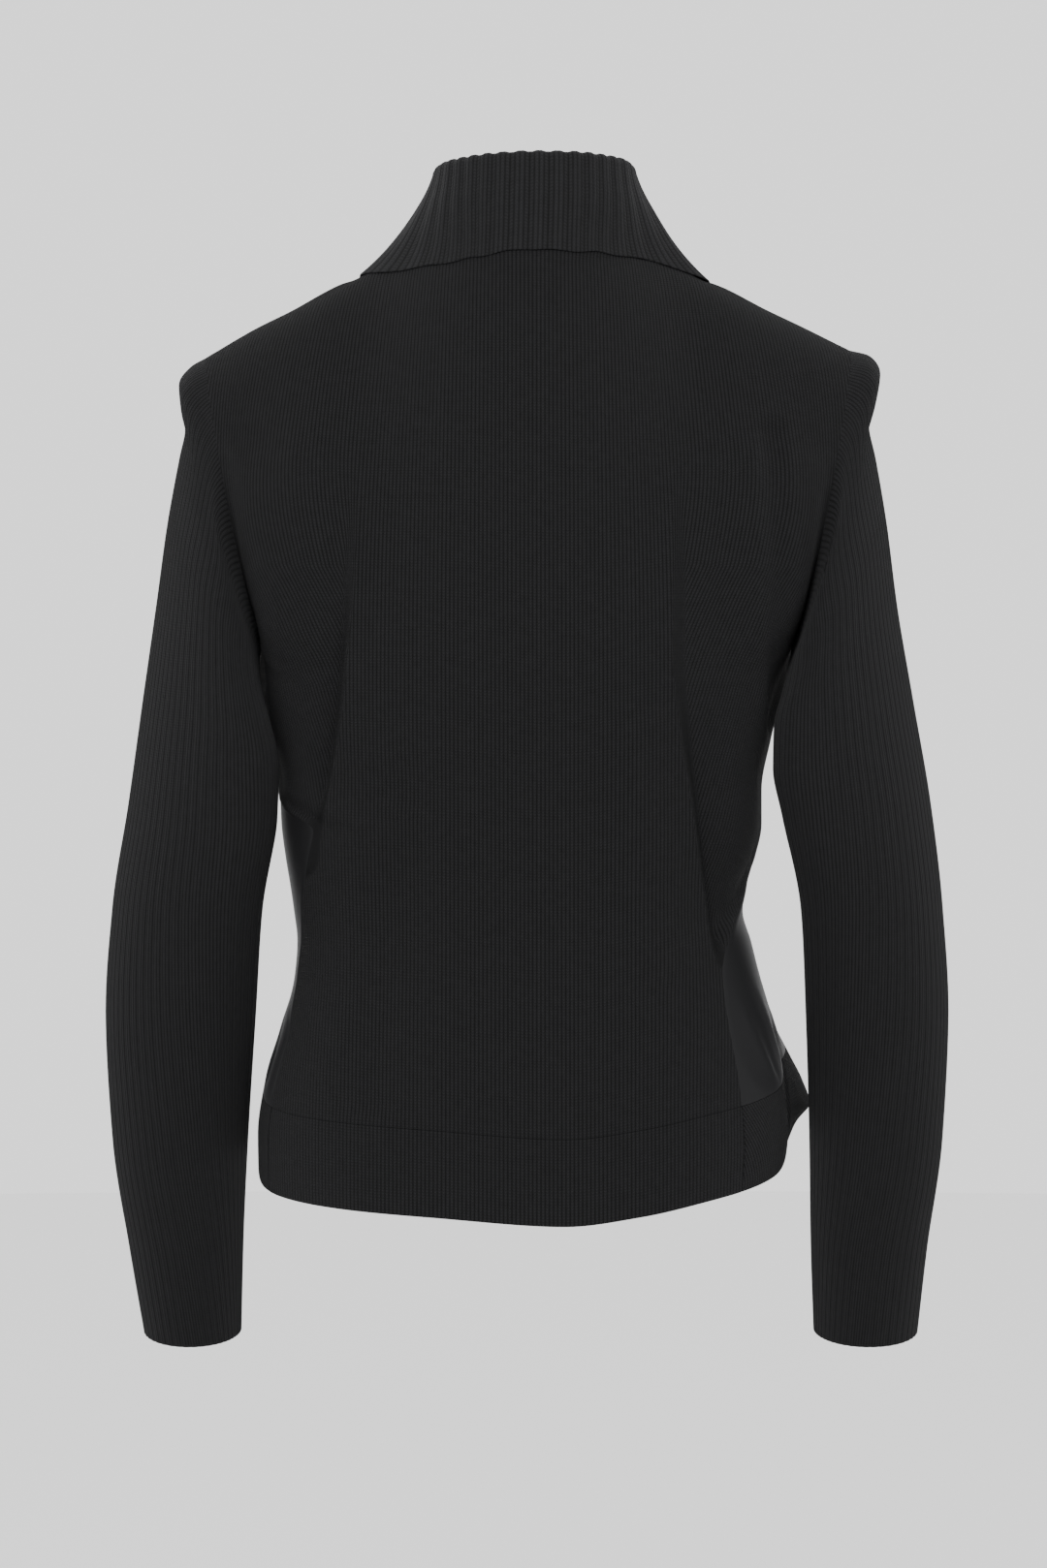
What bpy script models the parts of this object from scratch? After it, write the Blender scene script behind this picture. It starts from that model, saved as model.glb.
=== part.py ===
"""Knit jacket: jersey back, smooth fronts, deep hem band, rib sleeves, fold-over rib collar.

+Z is up, the fronts face -Y and the wearer's left is +X. The origin is at the middle of the
neck, level with the highest points of the shoulders. Tables and sizes are in millimetres, and
the meshes are written in metres.

A place on the body is given by its turn: 0 at the centre back, 1 at the left side and 2 at the
centre front, and the same with a minus sign round the right side.
"""
import math
from collections import namedtuple

import bmesh
import bpy
import numpy as np

MM = 0.001

# Cloth
SEAM_GAP = 0.34
ARMHOLE_GAP = 0.6       # the ribs of the sleeve need a little more
JERSEY_WALL = 2.0
BAND_WALL = 3.0
SMOOTH_WALL = 1.4
SLEEVE_WALL = 2.2
COLLAR_WALL = 2.4

# Body
BODY_POWER = 2.5        # squareness of a section: 2 is an ellipse
BAND_DEPTH = 50.0
BAND_ROWS = 2
HEM_LEVEL = -505.0      # where the band is sewn on, at the sides
HEM_EASE = 60.0         # the slope of the hem fades out this far above it
UNDERARM_LEVEL = -239.0
UNDERARM_EASE = 53.0    # the rows sag towards the centre over this height
UNDERARM_SAG = 24.0
YOKE_ROWS = 12
FRONT_COLUMNS = 14
FRONT_EDGE = 0.055      # the fronts end this part of a quarter turn before the centre

# Neck and shoulders
NECK_HALF = 67.0
NECK_BACK = 56.0
NECK_BACK_DROP = 12.0
NECK_FRONT = 62.0
NECK_FRONT_DROP = 80.0
NECK_FRONT_POWER = 1.3
NECK_SHARE = 0.41       # part of a quarter turn that is neckline, the rest is shoulder
SHOULDER_HALF = 192.0

# Creases at the sides of the back
CREASE_DEPTH = 10.0
CREASE_LIP = 2.0
CREASE_WALL = (-4.0, 3.0)       # the cloth goes down over this stretch beside the line
LIP_PLACE = -9.0
LIP_WIDTH = 7.0
CREASE_RISE = 22.0      # length over which the trough comes up again
CREASE_END = 0.45       # part of the yoke that the creases reach into

# Gathers of the fronts above the band
GATHER_DEPTH = 2.4
GATHER_HEIGHT = 80.0

# The right front's band stands away from the hip
FLAP_TURN = -1.27
FLAP_TURNS = 0.32
FlapPoint = namedtuple("FlapPoint", "z out")
FLAP = [
    FlapPoint(-440, 0), FlapPoint(-472, 10), FlapPoint(-490, 19), FlapPoint(-507, 26),
    FlapPoint(-521, 29.5), FlapPoint(-533, 17.5), FlapPoint(-550, 3), FlapPoint(-570, 0),
]

# Ribs
SLEEVE_RIB_PITCH = 5.4
SLEEVE_RIBS = 48
SLEEVE_RELIEF = 0.7
RIB_SQUEEZE = (0.72, 1.36)      # how far the ribs' pitch may be off on the outer face
COLLAR_RIBS = 40
COLLAR_RELIEF = 1.1
COLLAR_INSIDE_STEP = 2
ROLL_RADIUS = 4.6
RING_STEPS = 60
HEAD_RINGS = 5          # the first rings of a sleeve keep something of the armhole's shape
MITRE_SMOOTHING = 2     # times that the direction of the walls is evened out round an armhole

BodyRing = namedtuple("BodyRing", "z left right back front")
BODY = [
    BodyRing(-239, 158, 158, 110, 124),
    BodyRing(-255, 161, 156, 109, 123),
    BodyRing(-272, 161, 151.5, 107, 121.5),
    BodyRing(-300, 155.5, 144.5, 103, 117),
    BodyRing(-330, 148.5, 139, 99, 112),
    BodyRing(-350, 147.5, 139, 96.5, 108.5),
    BodyRing(-370, 145, 135, 94.5, 105.5),
    BodyRing(-385, 142.5, 130, 93, 103),
    BodyRing(-402, 140, 128, 92, 101.5),
    BodyRing(-420, 138, 133, 92.5, 101.5),
    BodyRing(-440, 139.5, 138, 94, 103),
    BodyRing(-472, 148, 147, 99, 107),
    BodyRing(-505, 157.5, 153, 106, 112),
    BodyRing(-535, 161.5, 155, 111, 115),
    BodyRing(-560, 161, 152, 114, 116),
    BodyRing(-582, 157, 149, 116, 117),
]

# Shoulder seams, from the neck to the armhole
ShoulderPoint = namedtuple("ShoulderPoint", "x left right")
SHOULDER = [
    ShoulderPoint(67, 0, 0), ShoulderPoint(90, -16, -16), ShoulderPoint(104, -24.8, -25),
    ShoulderPoint(111, -27, -27.2), ShoulderPoint(118, -30.2, -30), ShoulderPoint(141, -43, -42),
    ShoulderPoint(164, -54.5, -53), ShoulderPoint(192, -71, -67),
]

HemPoint = namedtuple("HemPoint", "turn z")
HEM = [
    HemPoint(-2.0, -540), HemPoint(-1.5, -537), HemPoint(-1.27, -525), HemPoint(-1.1, -537),
    HemPoint(-1.0, -541), HemPoint(-0.85, -554.5), HemPoint(-0.7, -561), HemPoint(-0.5, -568.5),
    HemPoint(-0.3, -576.5), HemPoint(-0.1, -581.5), HemPoint(0.25, -576.5), HemPoint(0.5, -573),
    HemPoint(0.7, -569), HemPoint(0.85, -564), HemPoint(1.0, -552), HemPoint(1.15, -547),
    HemPoint(1.4, -544), HemPoint(2.0, -540),
]

# Rows of the body between the band and the underarm
LEVELS = [-505, -488, -472, -455, -440, -426, -412, -398, -385, -370, -353, -341, -329, -312,
          -292, -272, -255, -239]

# Side seams: the knit of the back ends in a slant below the arm, and the smooth cloth of the
# fronts shows under it
SeamPoint = namedtuple("SeamPoint", "z turn")
LEFT_SEAM = [
    SeamPoint(-505, 0.78), SeamPoint(-472, 0.77), SeamPoint(-455, 0.82), SeamPoint(-437, 0.84),
    SeamPoint(-402, 0.80), SeamPoint(-370, 0.74), SeamPoint(-353, 0.70), SeamPoint(-341, 0.86),
    SeamPoint(-329, 0.98), SeamPoint(-312, 1.0), SeamPoint(-239, 1.0),
]
RIGHT_SEAM = [
    SeamPoint(-505, 0.61), SeamPoint(-472, 0.62), SeamPoint(-440, 0.65), SeamPoint(-426, 0.69),
    SeamPoint(-412, 0.78), SeamPoint(-398, 0.90), SeamPoint(-385, 0.98), SeamPoint(-370, 1.0),
    SeamPoint(-239, 1.0),
]

# Creases: the line of each, and how deep it is there as a part of CREASE_DEPTH
CreasePoint = namedtuple("CreasePoint", "z turn strength")
LEFT_CREASE = [
    CreasePoint(-505, 0.60, 0.0), CreasePoint(-385, 0.66, 0.0), CreasePoint(-370, 0.66, 0.1),
    CreasePoint(-353, 0.66, 0.4), CreasePoint(-341, 0.66, 0.8), CreasePoint(-313, 0.615, 1.0),
    CreasePoint(-287, 0.575, 1.0), CreasePoint(-262, 0.54, 0.85), CreasePoint(-239, 0.53, 0.6),
]
RIGHT_CREASE = [
    CreasePoint(-505, 0.52, 0.0), CreasePoint(-455, 0.56, 0.0), CreasePoint(-440, 0.60, 0.2),
    CreasePoint(-426, 0.64, 0.6), CreasePoint(-400, 0.64, 1.0), CreasePoint(-368, 0.60, 1.0),
    CreasePoint(-324, 0.53, 0.8), CreasePoint(-280, 0.46, 0.5), CreasePoint(-239, 0.42, 0.25),
]

# Columns of half the back: from the centre to the crease, from the crease to the side seam,
# and where the same columns end at the neckline and shoulder
INSIDE_CREASE = [0, 0.17, 0.34, 0.51, 0.68, 0.84, 0.95, 1.0]
OUTSIDE_CREASE = [0.2, 0.5, 0.78, 1.0]
BACK_TOP = [0, 0.10, 0.205, 0.31, 0.41, 0.50, 0.57, 0.63, 0.70, 0.80, 0.90, 1.0]
FRONT_TOP = [1.0, 0.90, 0.80, 0.70, 0.63, 0.57, 0.50, 0.41, 0.34, 0.28, 0.22, 0.17, 0.13, 0.09,
             FRONT_EDGE]

# Above the underarm each column is a curve: its two handles, from the row of the underarm and
# from the neckline or shoulder
YokeColumn = namedtuple("YokeColumn", "share low_x low_y low_z top_x top_y top_z")
BACK_YOKE = [
    YokeColumn(0.0, 0, 5, 80, 0, 30, -55),
    YokeColumn(0.2, 1, 5, 80, 14, 36, -47),
    YokeColumn(0.41, 1, 6, 84, 34, 34, -35),
    YokeColumn(0.6, 1, 8, 80, 12, 58, -20),
    YokeColumn(0.8, 3, 25, 56, 3, 68, -10),
    YokeColumn(1.0, 5, 70, 0, 2, 70, -6),
]
FRONT_YOKE = [
    YokeColumn(0.0, 0, -3, 66, 0, -24, -48),
    YokeColumn(0.2, 1, -4, 68, 14, -30, -43),
    YokeColumn(0.41, 0, -6, 84, 34, -32, -34),
    YokeColumn(0.6, 0, -8, 80, 12, -52, -18),
    YokeColumn(0.8, -2, -24, 50, -2, -64, -10),
    YokeColumn(1.0, -8, -72, 0, -12, -74, -6),
]

# Soft folds, as straight troughs seen from behind (face 1) or in front (face -1): the two ends,
# the half width and the depth, negative for a ridge
Fold = namedtuple("Fold", "face x0 z0 x1 z1 reach depth")
FOLDS = [
    Fold(1, -132, -98, -156, -160, 17, 5.0),
    Fold(1, -156, -160, -148, -225, 16, 5.5),
    Fold(1, -128, -160, -140, -265, 14, -3.0),
    Fold(1, 128, -110, 152, -160, 18, 4.0),
    Fold(1, 152, -160, 140, -215, 18, 4.0),
    Fold(1, 70, -330, 92, -520, 30, 2.5),
    Fold(1, -62, -300, -78, -430, 26, -2.5),
    Fold(-1, 120, -150, 70, -330, 26, 4.0),
    Fold(-1, -125, -150, -80, -300, 26, 4.0),
    Fold(-1, 60, -380, 80, -490, 24, 3.0),
    Fold(-1, -70, -360, -60, -490, 24, 3.0),
]

# Sleeves: the outer line, the inner line, the half depths behind and in front, where the middle
# and the inner line lie from front to back, and how far a ring dips at the back
SleeveRing = namedtuple("SleeveRing", "out_left z_left out_right z_right in_left in_right in_z"
                        " back front middle in_y dip")
SLEEVE = [
    SleeveRing(192, -71, 192, -67, 158, 158, -239, 54, 54, 0, 0, 0),
    SleeveRing(202, -77, 203.5, -70, 160.5, 160, -243, 55, 55, 0, 4, 0),
    SleeveRing(208.5, -87, 210, -80, 162, 160, -248, 56, 55, 0, 11, 0),
    SleeveRing(207.5, -100, 207.5, -96, 162, 159, -253, 56, 54, 0, 19, 0),
    SleeveRing(205, -114, 203.5, -112, 161, 157, -259, 55, 53, 0, 28, 0),
    SleeveRing(208.5, -132, 207.5, -132, 159.5, 153, -266, 55, 52, 0, 42, 0),
    SleeveRing(215.5, -170, 214, -170, 156, 148.5, -276, 55, 51, 0, 54, 2),
    SleeveRing(222.5, -220, 220.5, -220, 151.5, 144.5, -292, 54, 50, -1, 58, 4),
    SleeveRing(230.5, -275, 230, -275, 147, 144, -317, 52, 49, -3, 54, 5),
    SleeveRing(239.5, -338, 241, -338, 148.5, 150.5, -348, 49, 48, -6, 40, 6),
    SleeveRing(249.5, -400, 248.5, -400, 158.5, 162.5, -402, 47, 46, -11, 16, 6),
    SleeveRing(254, -465, 252.5, -465, 163.5, 166.5, -465, 45, 43, -17, -5, 6),
    SleeveRing(250.5, -540, 249.5, -540, 169, 169.5, -540, 41, 39, -25, -21, 6),
    SleeveRing(241, -605, 241, -605, 172.5, 171, -605, 37, 35, -32, -32, 6),
    SleeveRing(232.5, -657, 235.5, -657, 174, 173, -657, 35, 33, -38, -38, 7),
]

# Collar: where its top fold and its outer edge lie
CollarPoint = namedtuple("CollarPoint", "turn roll_x roll_y roll_z edge_x edge_y edge_z")
COLLAR = [
    CollarPoint(-2.0, -3.6, -72, -4, -2.5, -79, -95),
    CollarPoint(-1.75, -28.6, -65, 8, -57, -69.5, -85),
    CollarPoint(-1.5, -46.6, -50, 24, -92, -48, -62),
    CollarPoint(-1.25, -57.1, -28, 34, -109, -26.5, -38),
    CollarPoint(-1.0, -59.8, -2, 38.4, -110, 0, -22.4),
    CollarPoint(-0.75, -55.6, 22, 40, -76, 24, -12.6),
    CollarPoint(-0.5, -44.6, 39, 40.5, -52, 46, -12.4),
    CollarPoint(-0.25, -27.6, 51, 41, -30, 56.5, -11.7),
    CollarPoint(0.0, -3.6, 55, 41, -2.5, 61, -11),
    CollarPoint(0.25, 20.4, 51, 40.2, 25, 59, -14),
    CollarPoint(0.5, 37.4, 39, 39.2, 46, 52, -15.9),
    CollarPoint(0.75, 48.2, 22, 38.4, 71, 36, -17.9),
    CollarPoint(1.0, 52.4, -2, 37.6, 102, 0, -19.6),
    CollarPoint(1.25, 49.9, -28, 34, 103, -25, -34),
    CollarPoint(1.5, 39.4, -50, 24, 88, -49.5, -60),
    CollarPoint(1.75, 21.4, -65, 8, 53, -69.5, -84),
    CollarPoint(2.0, -3.6, -72, -4, -2.5, -79, -95),
]
ROLL_MIDDLE = (-3.6, -5.0)      # the fold leans away from this place, and sits to the right
COLLAR_ROLL_ANGLES = [0, 60, 120, 180]
COLLAR_FALL_SHARES = [0.25, 0.5, 0.75, 1.0]
COLLAR_HANG = 0.19      # the fall first drops, and then spreads
COLLAR_HANG_DROP = 16.5

Finish = namedtuple("Finish", "name color roughness")
JERSEY = Finish("black_jersey_knit", (0.0152, 0.0150, 0.0152), 0.92)
RIB = Finish("black_rib_knit", (0.0160, 0.0158, 0.0160), 0.92)
SMOOTH = Finish("black_smooth_satin", (0.0120, 0.0120, 0.0125), 0.38)


def smooth(table, key, field, at):
    """Value of a table's column at any place, on a curve that never overshoots its rows."""
    places = np.array([getattr(row, key) for row in table], float)
    values = np.array([getattr(row, field) for row in table], float)
    if places[0] > places[-1]:
        places, values = places[::-1], values[::-1]
    slopes = np.diff(values) / np.diff(places)
    tangents = np.concatenate(([slopes[0]], np.zeros(len(slopes) - 1), [slopes[-1]]))
    for i in range(1, len(slopes)):
        if slopes[i - 1] * slopes[i] > 0:
            tangents[i] = 2 * slopes[i - 1] * slopes[i] / (slopes[i - 1] + slopes[i])
    at = min(max(at, places[0]), places[-1])
    i = min(int(np.searchsorted(places, at, "right")) - 1, len(slopes) - 1)
    span = places[i + 1] - places[i]
    t = (at - places[i]) / span
    start = (1 + 2 * t) * (1 - t) ** 2 * values[i] + t * (1 - t) ** 2 * span * tangents[i]
    end = t * t * (3 - 2 * t) * values[i + 1] + t * t * (t - 1) * span * tangents[i + 1]
    return float(start + end)


def fade(value, none, full):
    """0 at none, 1 at full, with a soft start and end."""
    t = min(max((value - none) / (full - none), 0.0), 1.0)
    return t * t * (3 - 2 * t)


def unit(vectors):
    length = np.linalg.norm(vectors, axis=-1, keepdims=True)
    return vectors / np.maximum(length, 1e-9)


def along(path, values, share):
    """Values at a share of a path's length, straight between its points."""
    steps = np.linalg.norm(np.diff(path, axis=0), axis=1)
    length = np.concatenate(([0], np.cumsum(steps)))
    place = share * length[-1]
    return np.array([np.interp(place, length, values[:, axis]) for axis in range(3)])


# ---- Body -----------------------------------------------------------------------------------

def body_point(turn, z):
    """A point of the body's section at a height, by length round each quarter of it."""
    side = 1 if turn >= 0 else -1
    at_back = abs(turn) <= 1
    share = abs(turn) if at_back else 2 - abs(turn)
    half = smooth(BODY, "z", "left" if side > 0 else "right", z)
    depth = smooth(BODY, "z", "back", z) if at_back else -smooth(BODY, "z", "front", z)
    angles = np.linspace(0, math.pi / 2, 49)
    xs = half * np.sin(angles) ** (2 / BODY_POWER)
    ys = depth * np.maximum(np.cos(angles), 0) ** (2 / BODY_POWER)
    length = np.concatenate(([0], np.cumsum(np.hypot(np.diff(xs), np.diff(ys)))))
    place = share * length[-1]
    point = np.array([side * np.interp(place, length, xs), np.interp(place, length, ys), z])
    if not at_back and side < 0:
        around = max(1 - abs(turn - FLAP_TURN) / FLAP_TURNS, 0.0)
        point[0] -= around ** 1.5 * smooth(FLAP, "z", "out", z)
    return point


def hem_height(turn):
    return smooth(HEM, "turn", "z", turn)


def level_height(turn, level):
    """Height of a row of the body: it follows the hem below and sags a little above."""
    slope = hem_height(turn) + BAND_DEPTH - HEM_LEVEL
    low = 1 - fade(level, HEM_LEVEL, HEM_LEVEL + HEM_EASE)
    high = fade(level, UNDERARM_LEVEL - UNDERARM_EASE, UNDERARM_LEVEL)
    share = abs(turn) if abs(turn) <= 1 else 2 - abs(turn)
    return level + slope * low - UNDERARM_SAG * high * fade(share, 1.0, 0.62)


def neck_point(turn):
    """The seam between the body and the collar."""
    side = 1 if turn >= 0 else -1
    at_back = abs(turn) <= 1
    angle = (abs(turn) if at_back else 2 - abs(turn)) * math.pi / 2
    depth, drop, power = (NECK_BACK, NECK_BACK_DROP, 1.0)
    if not at_back:
        depth, drop, power = (-NECK_FRONT, NECK_FRONT_DROP, NECK_FRONT_POWER)
    lean = max(math.cos(angle), 0.0)
    return np.array([side * NECK_HALF * math.sin(angle), depth * lean, -drop * lean ** power])


def top_point(turn):
    """Where a column ends: on the neckline, or on the shoulder seam."""
    side = 1 if turn >= 0 else -1
    at_back = abs(turn) <= 1
    share = abs(turn) if at_back else 2 - abs(turn)
    if share <= NECK_SHARE:
        part = share / NECK_SHARE
        return neck_point(side * (part if at_back else 2 - part))
    part = (share - NECK_SHARE) / (1 - NECK_SHARE)
    x = NECK_HALF + (SHOULDER_HALF - NECK_HALF) * part
    return np.array([side * x, 0.0, smooth(SHOULDER, "x", "left" if side > 0 else "right", x)])


def yoke_point(turn, top_turn, rise, face):
    """Above the underarm: a curve from the underarm row to the neckline or shoulder."""
    side = 1 if turn >= 0 else -1
    table = BACK_YOKE if face > 0 else FRONT_YOKE
    now = turn + (top_turn - turn) * rise
    share = abs(now) if abs(now) <= 1 else 2 - abs(now)
    handles = [smooth(table, "share", field, share) for field in YokeColumn._fields[1:]]
    low, top = np.array(handles[:3]), np.array(handles[3:])
    low[0] *= side
    top[0] *= side
    start, end = body_point(now, level_height(now, UNDERARM_LEVEL)), top_point(now)
    a, b = 1 - rise, rise
    return (a ** 3 * start + 3 * a * a * b * (start + low)
            + 3 * a * b * b * (end + top) + b ** 3 * end)


def side_seam(side, level):
    return side * smooth(LEFT_SEAM if side > 0 else RIGHT_SEAM, "z", "turn", level)


def back_columns(side, level):
    """Turns of half the back's columns at a level, centre first."""
    table = LEFT_CREASE if side > 0 else RIGHT_CREASE
    crease = smooth(table, "z", "turn", level)
    seam = abs(side_seam(side, level))
    inside = [crease * share for share in INSIDE_CREASE]
    outside = [crease + (seam - crease) * share for share in OUTSIDE_CREASE]
    return [side * turn for turn in inside + outside]


def crease_drop(side, level, offset, rise=0.0):
    """How far the cloth is pushed in beside a crease, by the distance from its line."""
    table = LEFT_CREASE if side > 0 else RIGHT_CREASE
    strength = smooth(table, "z", "strength", level) * (1 - fade(rise, 0, CREASE_END))
    trough = fade(offset, *CREASE_WALL) * math.exp(-max(offset - CREASE_WALL[1], 0) / CREASE_RISE)
    lip = math.exp(-((offset - LIP_PLACE) / LIP_WIDTH) ** 2)
    return strength * (CREASE_DEPTH * trough - CREASE_LIP * lip)


def front_columns(side, level):
    """Turns of a front's columns at a level, side seam first. Where the seam runs towards the
    back, the columns next to it go along."""
    shift = abs(side_seam(side, level)) - 1
    shares = [i / FRONT_COLUMNS for i in range(FRONT_COLUMNS + 1)]
    return [side * (1 + (1 - FRONT_EDGE) * share + shift * (1 - share) ** 3) for share in shares]


def fold_depth(point):
    """Depth of the soft folds at a point, from the straight line of each."""
    total = 0.0
    for fold in FOLDS:
        if fold.face * point[1] < 0:
            continue
        start, run = np.array([fold.x0, fold.z0]), np.array([fold.x1 - fold.x0, fold.z1 - fold.z0])
        way = point[[0, 2]] - start
        share = min(max(float(way @ run) / float(run @ run), 0.0), 1.0)
        distance = float(np.linalg.norm(way - share * run))
        total += fold.depth * (1 - fade(distance, 0, fold.reach))
    return total


def body_rows(columns_at, top_turns, face):
    """Points of a panel from the hem up: the band, the body and the yoke."""
    rows = []
    for i in range(BAND_ROWS):
        turns = columns_at(HEM_LEVEL)
        heights = [hem_height(turn) + BAND_DEPTH * i / BAND_ROWS for turn in turns]
        rows.append([body_point(turn, z) for turn, z in zip(turns, heights)])
    for level in LEVELS:
        rows.append([body_point(turn, level_height(turn, level)) for turn in columns_at(level)])
    for i in range(1, YOKE_ROWS + 1):
        turns = columns_at(UNDERARM_LEVEL)
        rise = i / YOKE_ROWS
        rows.append([yoke_point(turn, top, rise, face) for turn, top in zip(turns, top_turns)])
    return np.array(rows)


def face_normals(points, closed=False):
    """Smooth directions out of a sheet whose columns run to the wearer's left round the back."""
    if closed:
        across = np.roll(points, -1, axis=1) - np.roll(points, 1, axis=1)
    else:
        across = np.gradient(points, axis=1)
    return unit(np.cross(np.gradient(points, axis=0), across))


def back_sheet():
    def columns_at(level):
        right, left = back_columns(-1, level), back_columns(1, level)
        return right[:0:-1] + left

    top = [-turn for turn in BACK_TOP[:0:-1]] + BACK_TOP
    points = body_rows(columns_at, top, 1)
    normals = face_normals(points)
    centre = len(BACK_TOP) - 1
    for side in (-1, 1):
        crease_column = centre + side * (len(INSIDE_CREASE) - 1)
        for row in range(BAND_ROWS, len(points)):
            level = LEVELS[min(row - BAND_ROWS, len(LEVELS) - 1)]
            rise = max(row - BAND_ROWS - len(LEVELS) + 1, 0) / YOKE_ROWS
            line = points[row, crease_column].copy()
            for step in range(1, len(BACK_TOP)):
                column = centre + side * step
                gap = np.linalg.norm(points[row, column] - line)
                offset = gap if step > len(INSIDE_CREASE) - 1 else -gap
                if step == len(INSIDE_CREASE) - 1:
                    offset = 2.0
                drop = crease_drop(side, level, offset, rise)
                points[row, column] -= normals[row, column] * drop
    return push_folds(points)


def front_sheet(side):
    def columns_at(level):
        return front_columns(side, level)

    points = body_rows(columns_at, [side * (2 - share) for share in FRONT_TOP], -1)
    normals = face_normals(points) * side
    for row, level in enumerate(LEVELS, start=BAND_ROWS):
        amount = GATHER_DEPTH * (1 - fade(level, HEM_LEVEL, HEM_LEVEL + GATHER_HEIGHT))
        for column in range(1, FRONT_COLUMNS):
            points[row, column] -= normals[row, column] * amount * (column % 2)
    return push_folds(points)


def push_folds(points):
    normals = face_normals(points)
    outward = 1 if float(np.sum(normals[:, :, :2] * points[:, :, :2])) > 0 else -1
    rows, columns = points.shape[:2]
    for row in range(rows - 1):
        for column in range(1, columns - 1):
            depth = fold_depth(points[row, column])
            points[row, column] -= outward * normals[row, column] * depth
    return points, face_normals(points) * outward


# ---- Sleeves --------------------------------------------------------------------------------

def half_ring(ring, side, face, share):
    """A point of half a sleeve ring: 0 at its outer line, 1 at its inner line."""
    inner_x = ring.in_left if side > 0 else ring.in_right
    outer_x, outer_z = ((ring.out_left, ring.z_left) if side > 0
                        else (ring.out_right, ring.z_right))
    outer = np.array([side * outer_x, ring.middle, outer_z])
    inner = np.array([side * inner_x, ring.in_y, ring.in_z])
    depth = ring.back if face > 0 else ring.front
    angle = share * math.pi
    middle, reach = (outer + inner) / 2, (outer - inner) / 2
    swing = np.array([0, face * depth, -face * ring.dip])
    return middle + reach * math.cos(angle) + swing * math.sin(angle)


def ring_path(ring, side, face):
    """Half a sleeve ring at even steps of its length."""
    dense = np.array([half_ring(ring, side, face, i / 180) for i in range(181)])
    return np.array([along(dense, dense, i / RING_STEPS) for i in range(RING_STEPS + 1)])


def rib_share(column, columns, length):
    """Keeps the ribs' pitch on the outer face, and takes the rest up near the underarm seam."""
    part = column / columns
    start = min(max(SLEEVE_RIB_PITCH * columns / 2 / length, RIB_SQUEEZE[0]), RIB_SQUEEZE[1])
    return start * part + (1 - start) * part ** 3


def sleeve_sheet(side, armhole):
    """Rings of plain points from the armhole to the wrist, starting at the shoulder and going
    round the back. armhole gives the body's edge behind and in front, from the shoulder."""
    half = SLEEVE_RIBS
    rows = []
    for index, ring in enumerate(SLEEVE):
        faces = {}
        for face in (1, -1):
            if index == 0:
                path = armhole[face]
            else:
                path = ring_path(ring, side, face)
                first = ring_path(SLEEVE[0], side, face)
                held = np.array([along(armhole[face], armhole[face], i / RING_STEPS)
                                 for i in range(RING_STEPS + 1)])
                path = path + (held - first) * (1 - fade(index, 0, HEAD_RINGS))
            length = float(np.sum(np.linalg.norm(np.diff(path, axis=0), axis=1)))
            shares = [rib_share(i, half, length) for i in range(half + 1)]
            faces[face] = [along(path, path, share) for share in shares]
        rows.append(faces[1] + faces[-1][-2:0:-1])
    points = np.array(rows)
    normals = face_normals(points, closed=True)
    centre = points.mean(axis=1, keepdims=True)
    if float(np.sum(normals * (points - centre))) < 0:
        normals = -normals
    return points, normals


# ---- Collar ---------------------------------------------------------------------------------

def collar_point(turn, field):
    return np.array([smooth(COLLAR, "turn", f"{field}_{axis}", turn) for axis in "xyz"])


def collar_turns():
    """Turns of the collar's columns, at even steps along the neck seam."""
    end = 2 - FRONT_EDGE
    dense = np.linspace(-end, end, 401)
    path = np.array([neck_point(turn) for turn in dense])
    steps = np.linalg.norm(np.diff(path, axis=0), axis=1)
    length = np.concatenate(([0], np.cumsum(steps)))
    places = np.linspace(0, length[-1], 2 * COLLAR_RIBS + 1)
    return [float(np.interp(place, length, dense)) for place in places]


def collar_sheet():
    """Columns from the neck seam up the stand, over the fold and down the fall."""
    columns = []
    up = np.array([0, 0, 1.0])
    for turn in collar_turns():
        seam = neck_point(turn)
        roll = collar_point(turn, "roll")
        edge = collar_point(turn, "edge")
        out = unit(np.array([roll[0] - ROLL_MIDDLE[0], roll[1] - ROLL_MIDDLE[1], 0]))
        foot = seam - out * COLLAR_WALL + up * SEAM_GAP * 2
        inner, outer = roll - out * ROLL_RADIUS, roll + out * ROLL_RADIUS
        column = [foot, foot + (inner - foot) * 0.5 - out * 0.5]
        for angle in COLLAR_ROLL_ANGLES:
            turned = math.radians(angle)
            column.append(roll + ROLL_RADIUS * (up * math.sin(turned) - out * math.cos(turned)))
        hang = outer + (edge - outer) * COLLAR_HANG - up * COLLAR_HANG_DROP
        for share in COLLAR_FALL_SHARES:
            a, b = 1 - share, share
            column.append(a * a * outer + 2 * a * b * hang + b * b * edge)
        columns.append(column)
    points = np.array(columns).transpose(1, 0, 2)
    normals = face_normals(points)
    if normals[-2, COLLAR_RIBS, 1] < 0:
        normals = -normals
    return points, normals


# ---- Walls ----------------------------------------------------------------------------------

EDGES = {"bottom": (0, slice(None)), "top": (-1, slice(None)),
         "first": (slice(None), 0), "last": (slice(None), -1)}


def draw_back(points, normals, names, gap=SEAM_GAP / 2):
    """Moves the named edges of a sheet back from its seams, along the cloth and square to
    the edge."""
    moved = points.copy()
    for name in names:
        place = EDGES[name]
        line, facing = points[place], normals[place]
        inside = {"bottom": points[1], "top": points[-2],
                  "first": points[:, 1], "last": points[:, -2]}[name]
        inward = unit(np.cross(facing, np.gradient(line, axis=0)))
        inward[np.sum(inward * (inside - line), axis=1) < 0] *= -1
        moved[place] += inward * gap
    return moved


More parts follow.
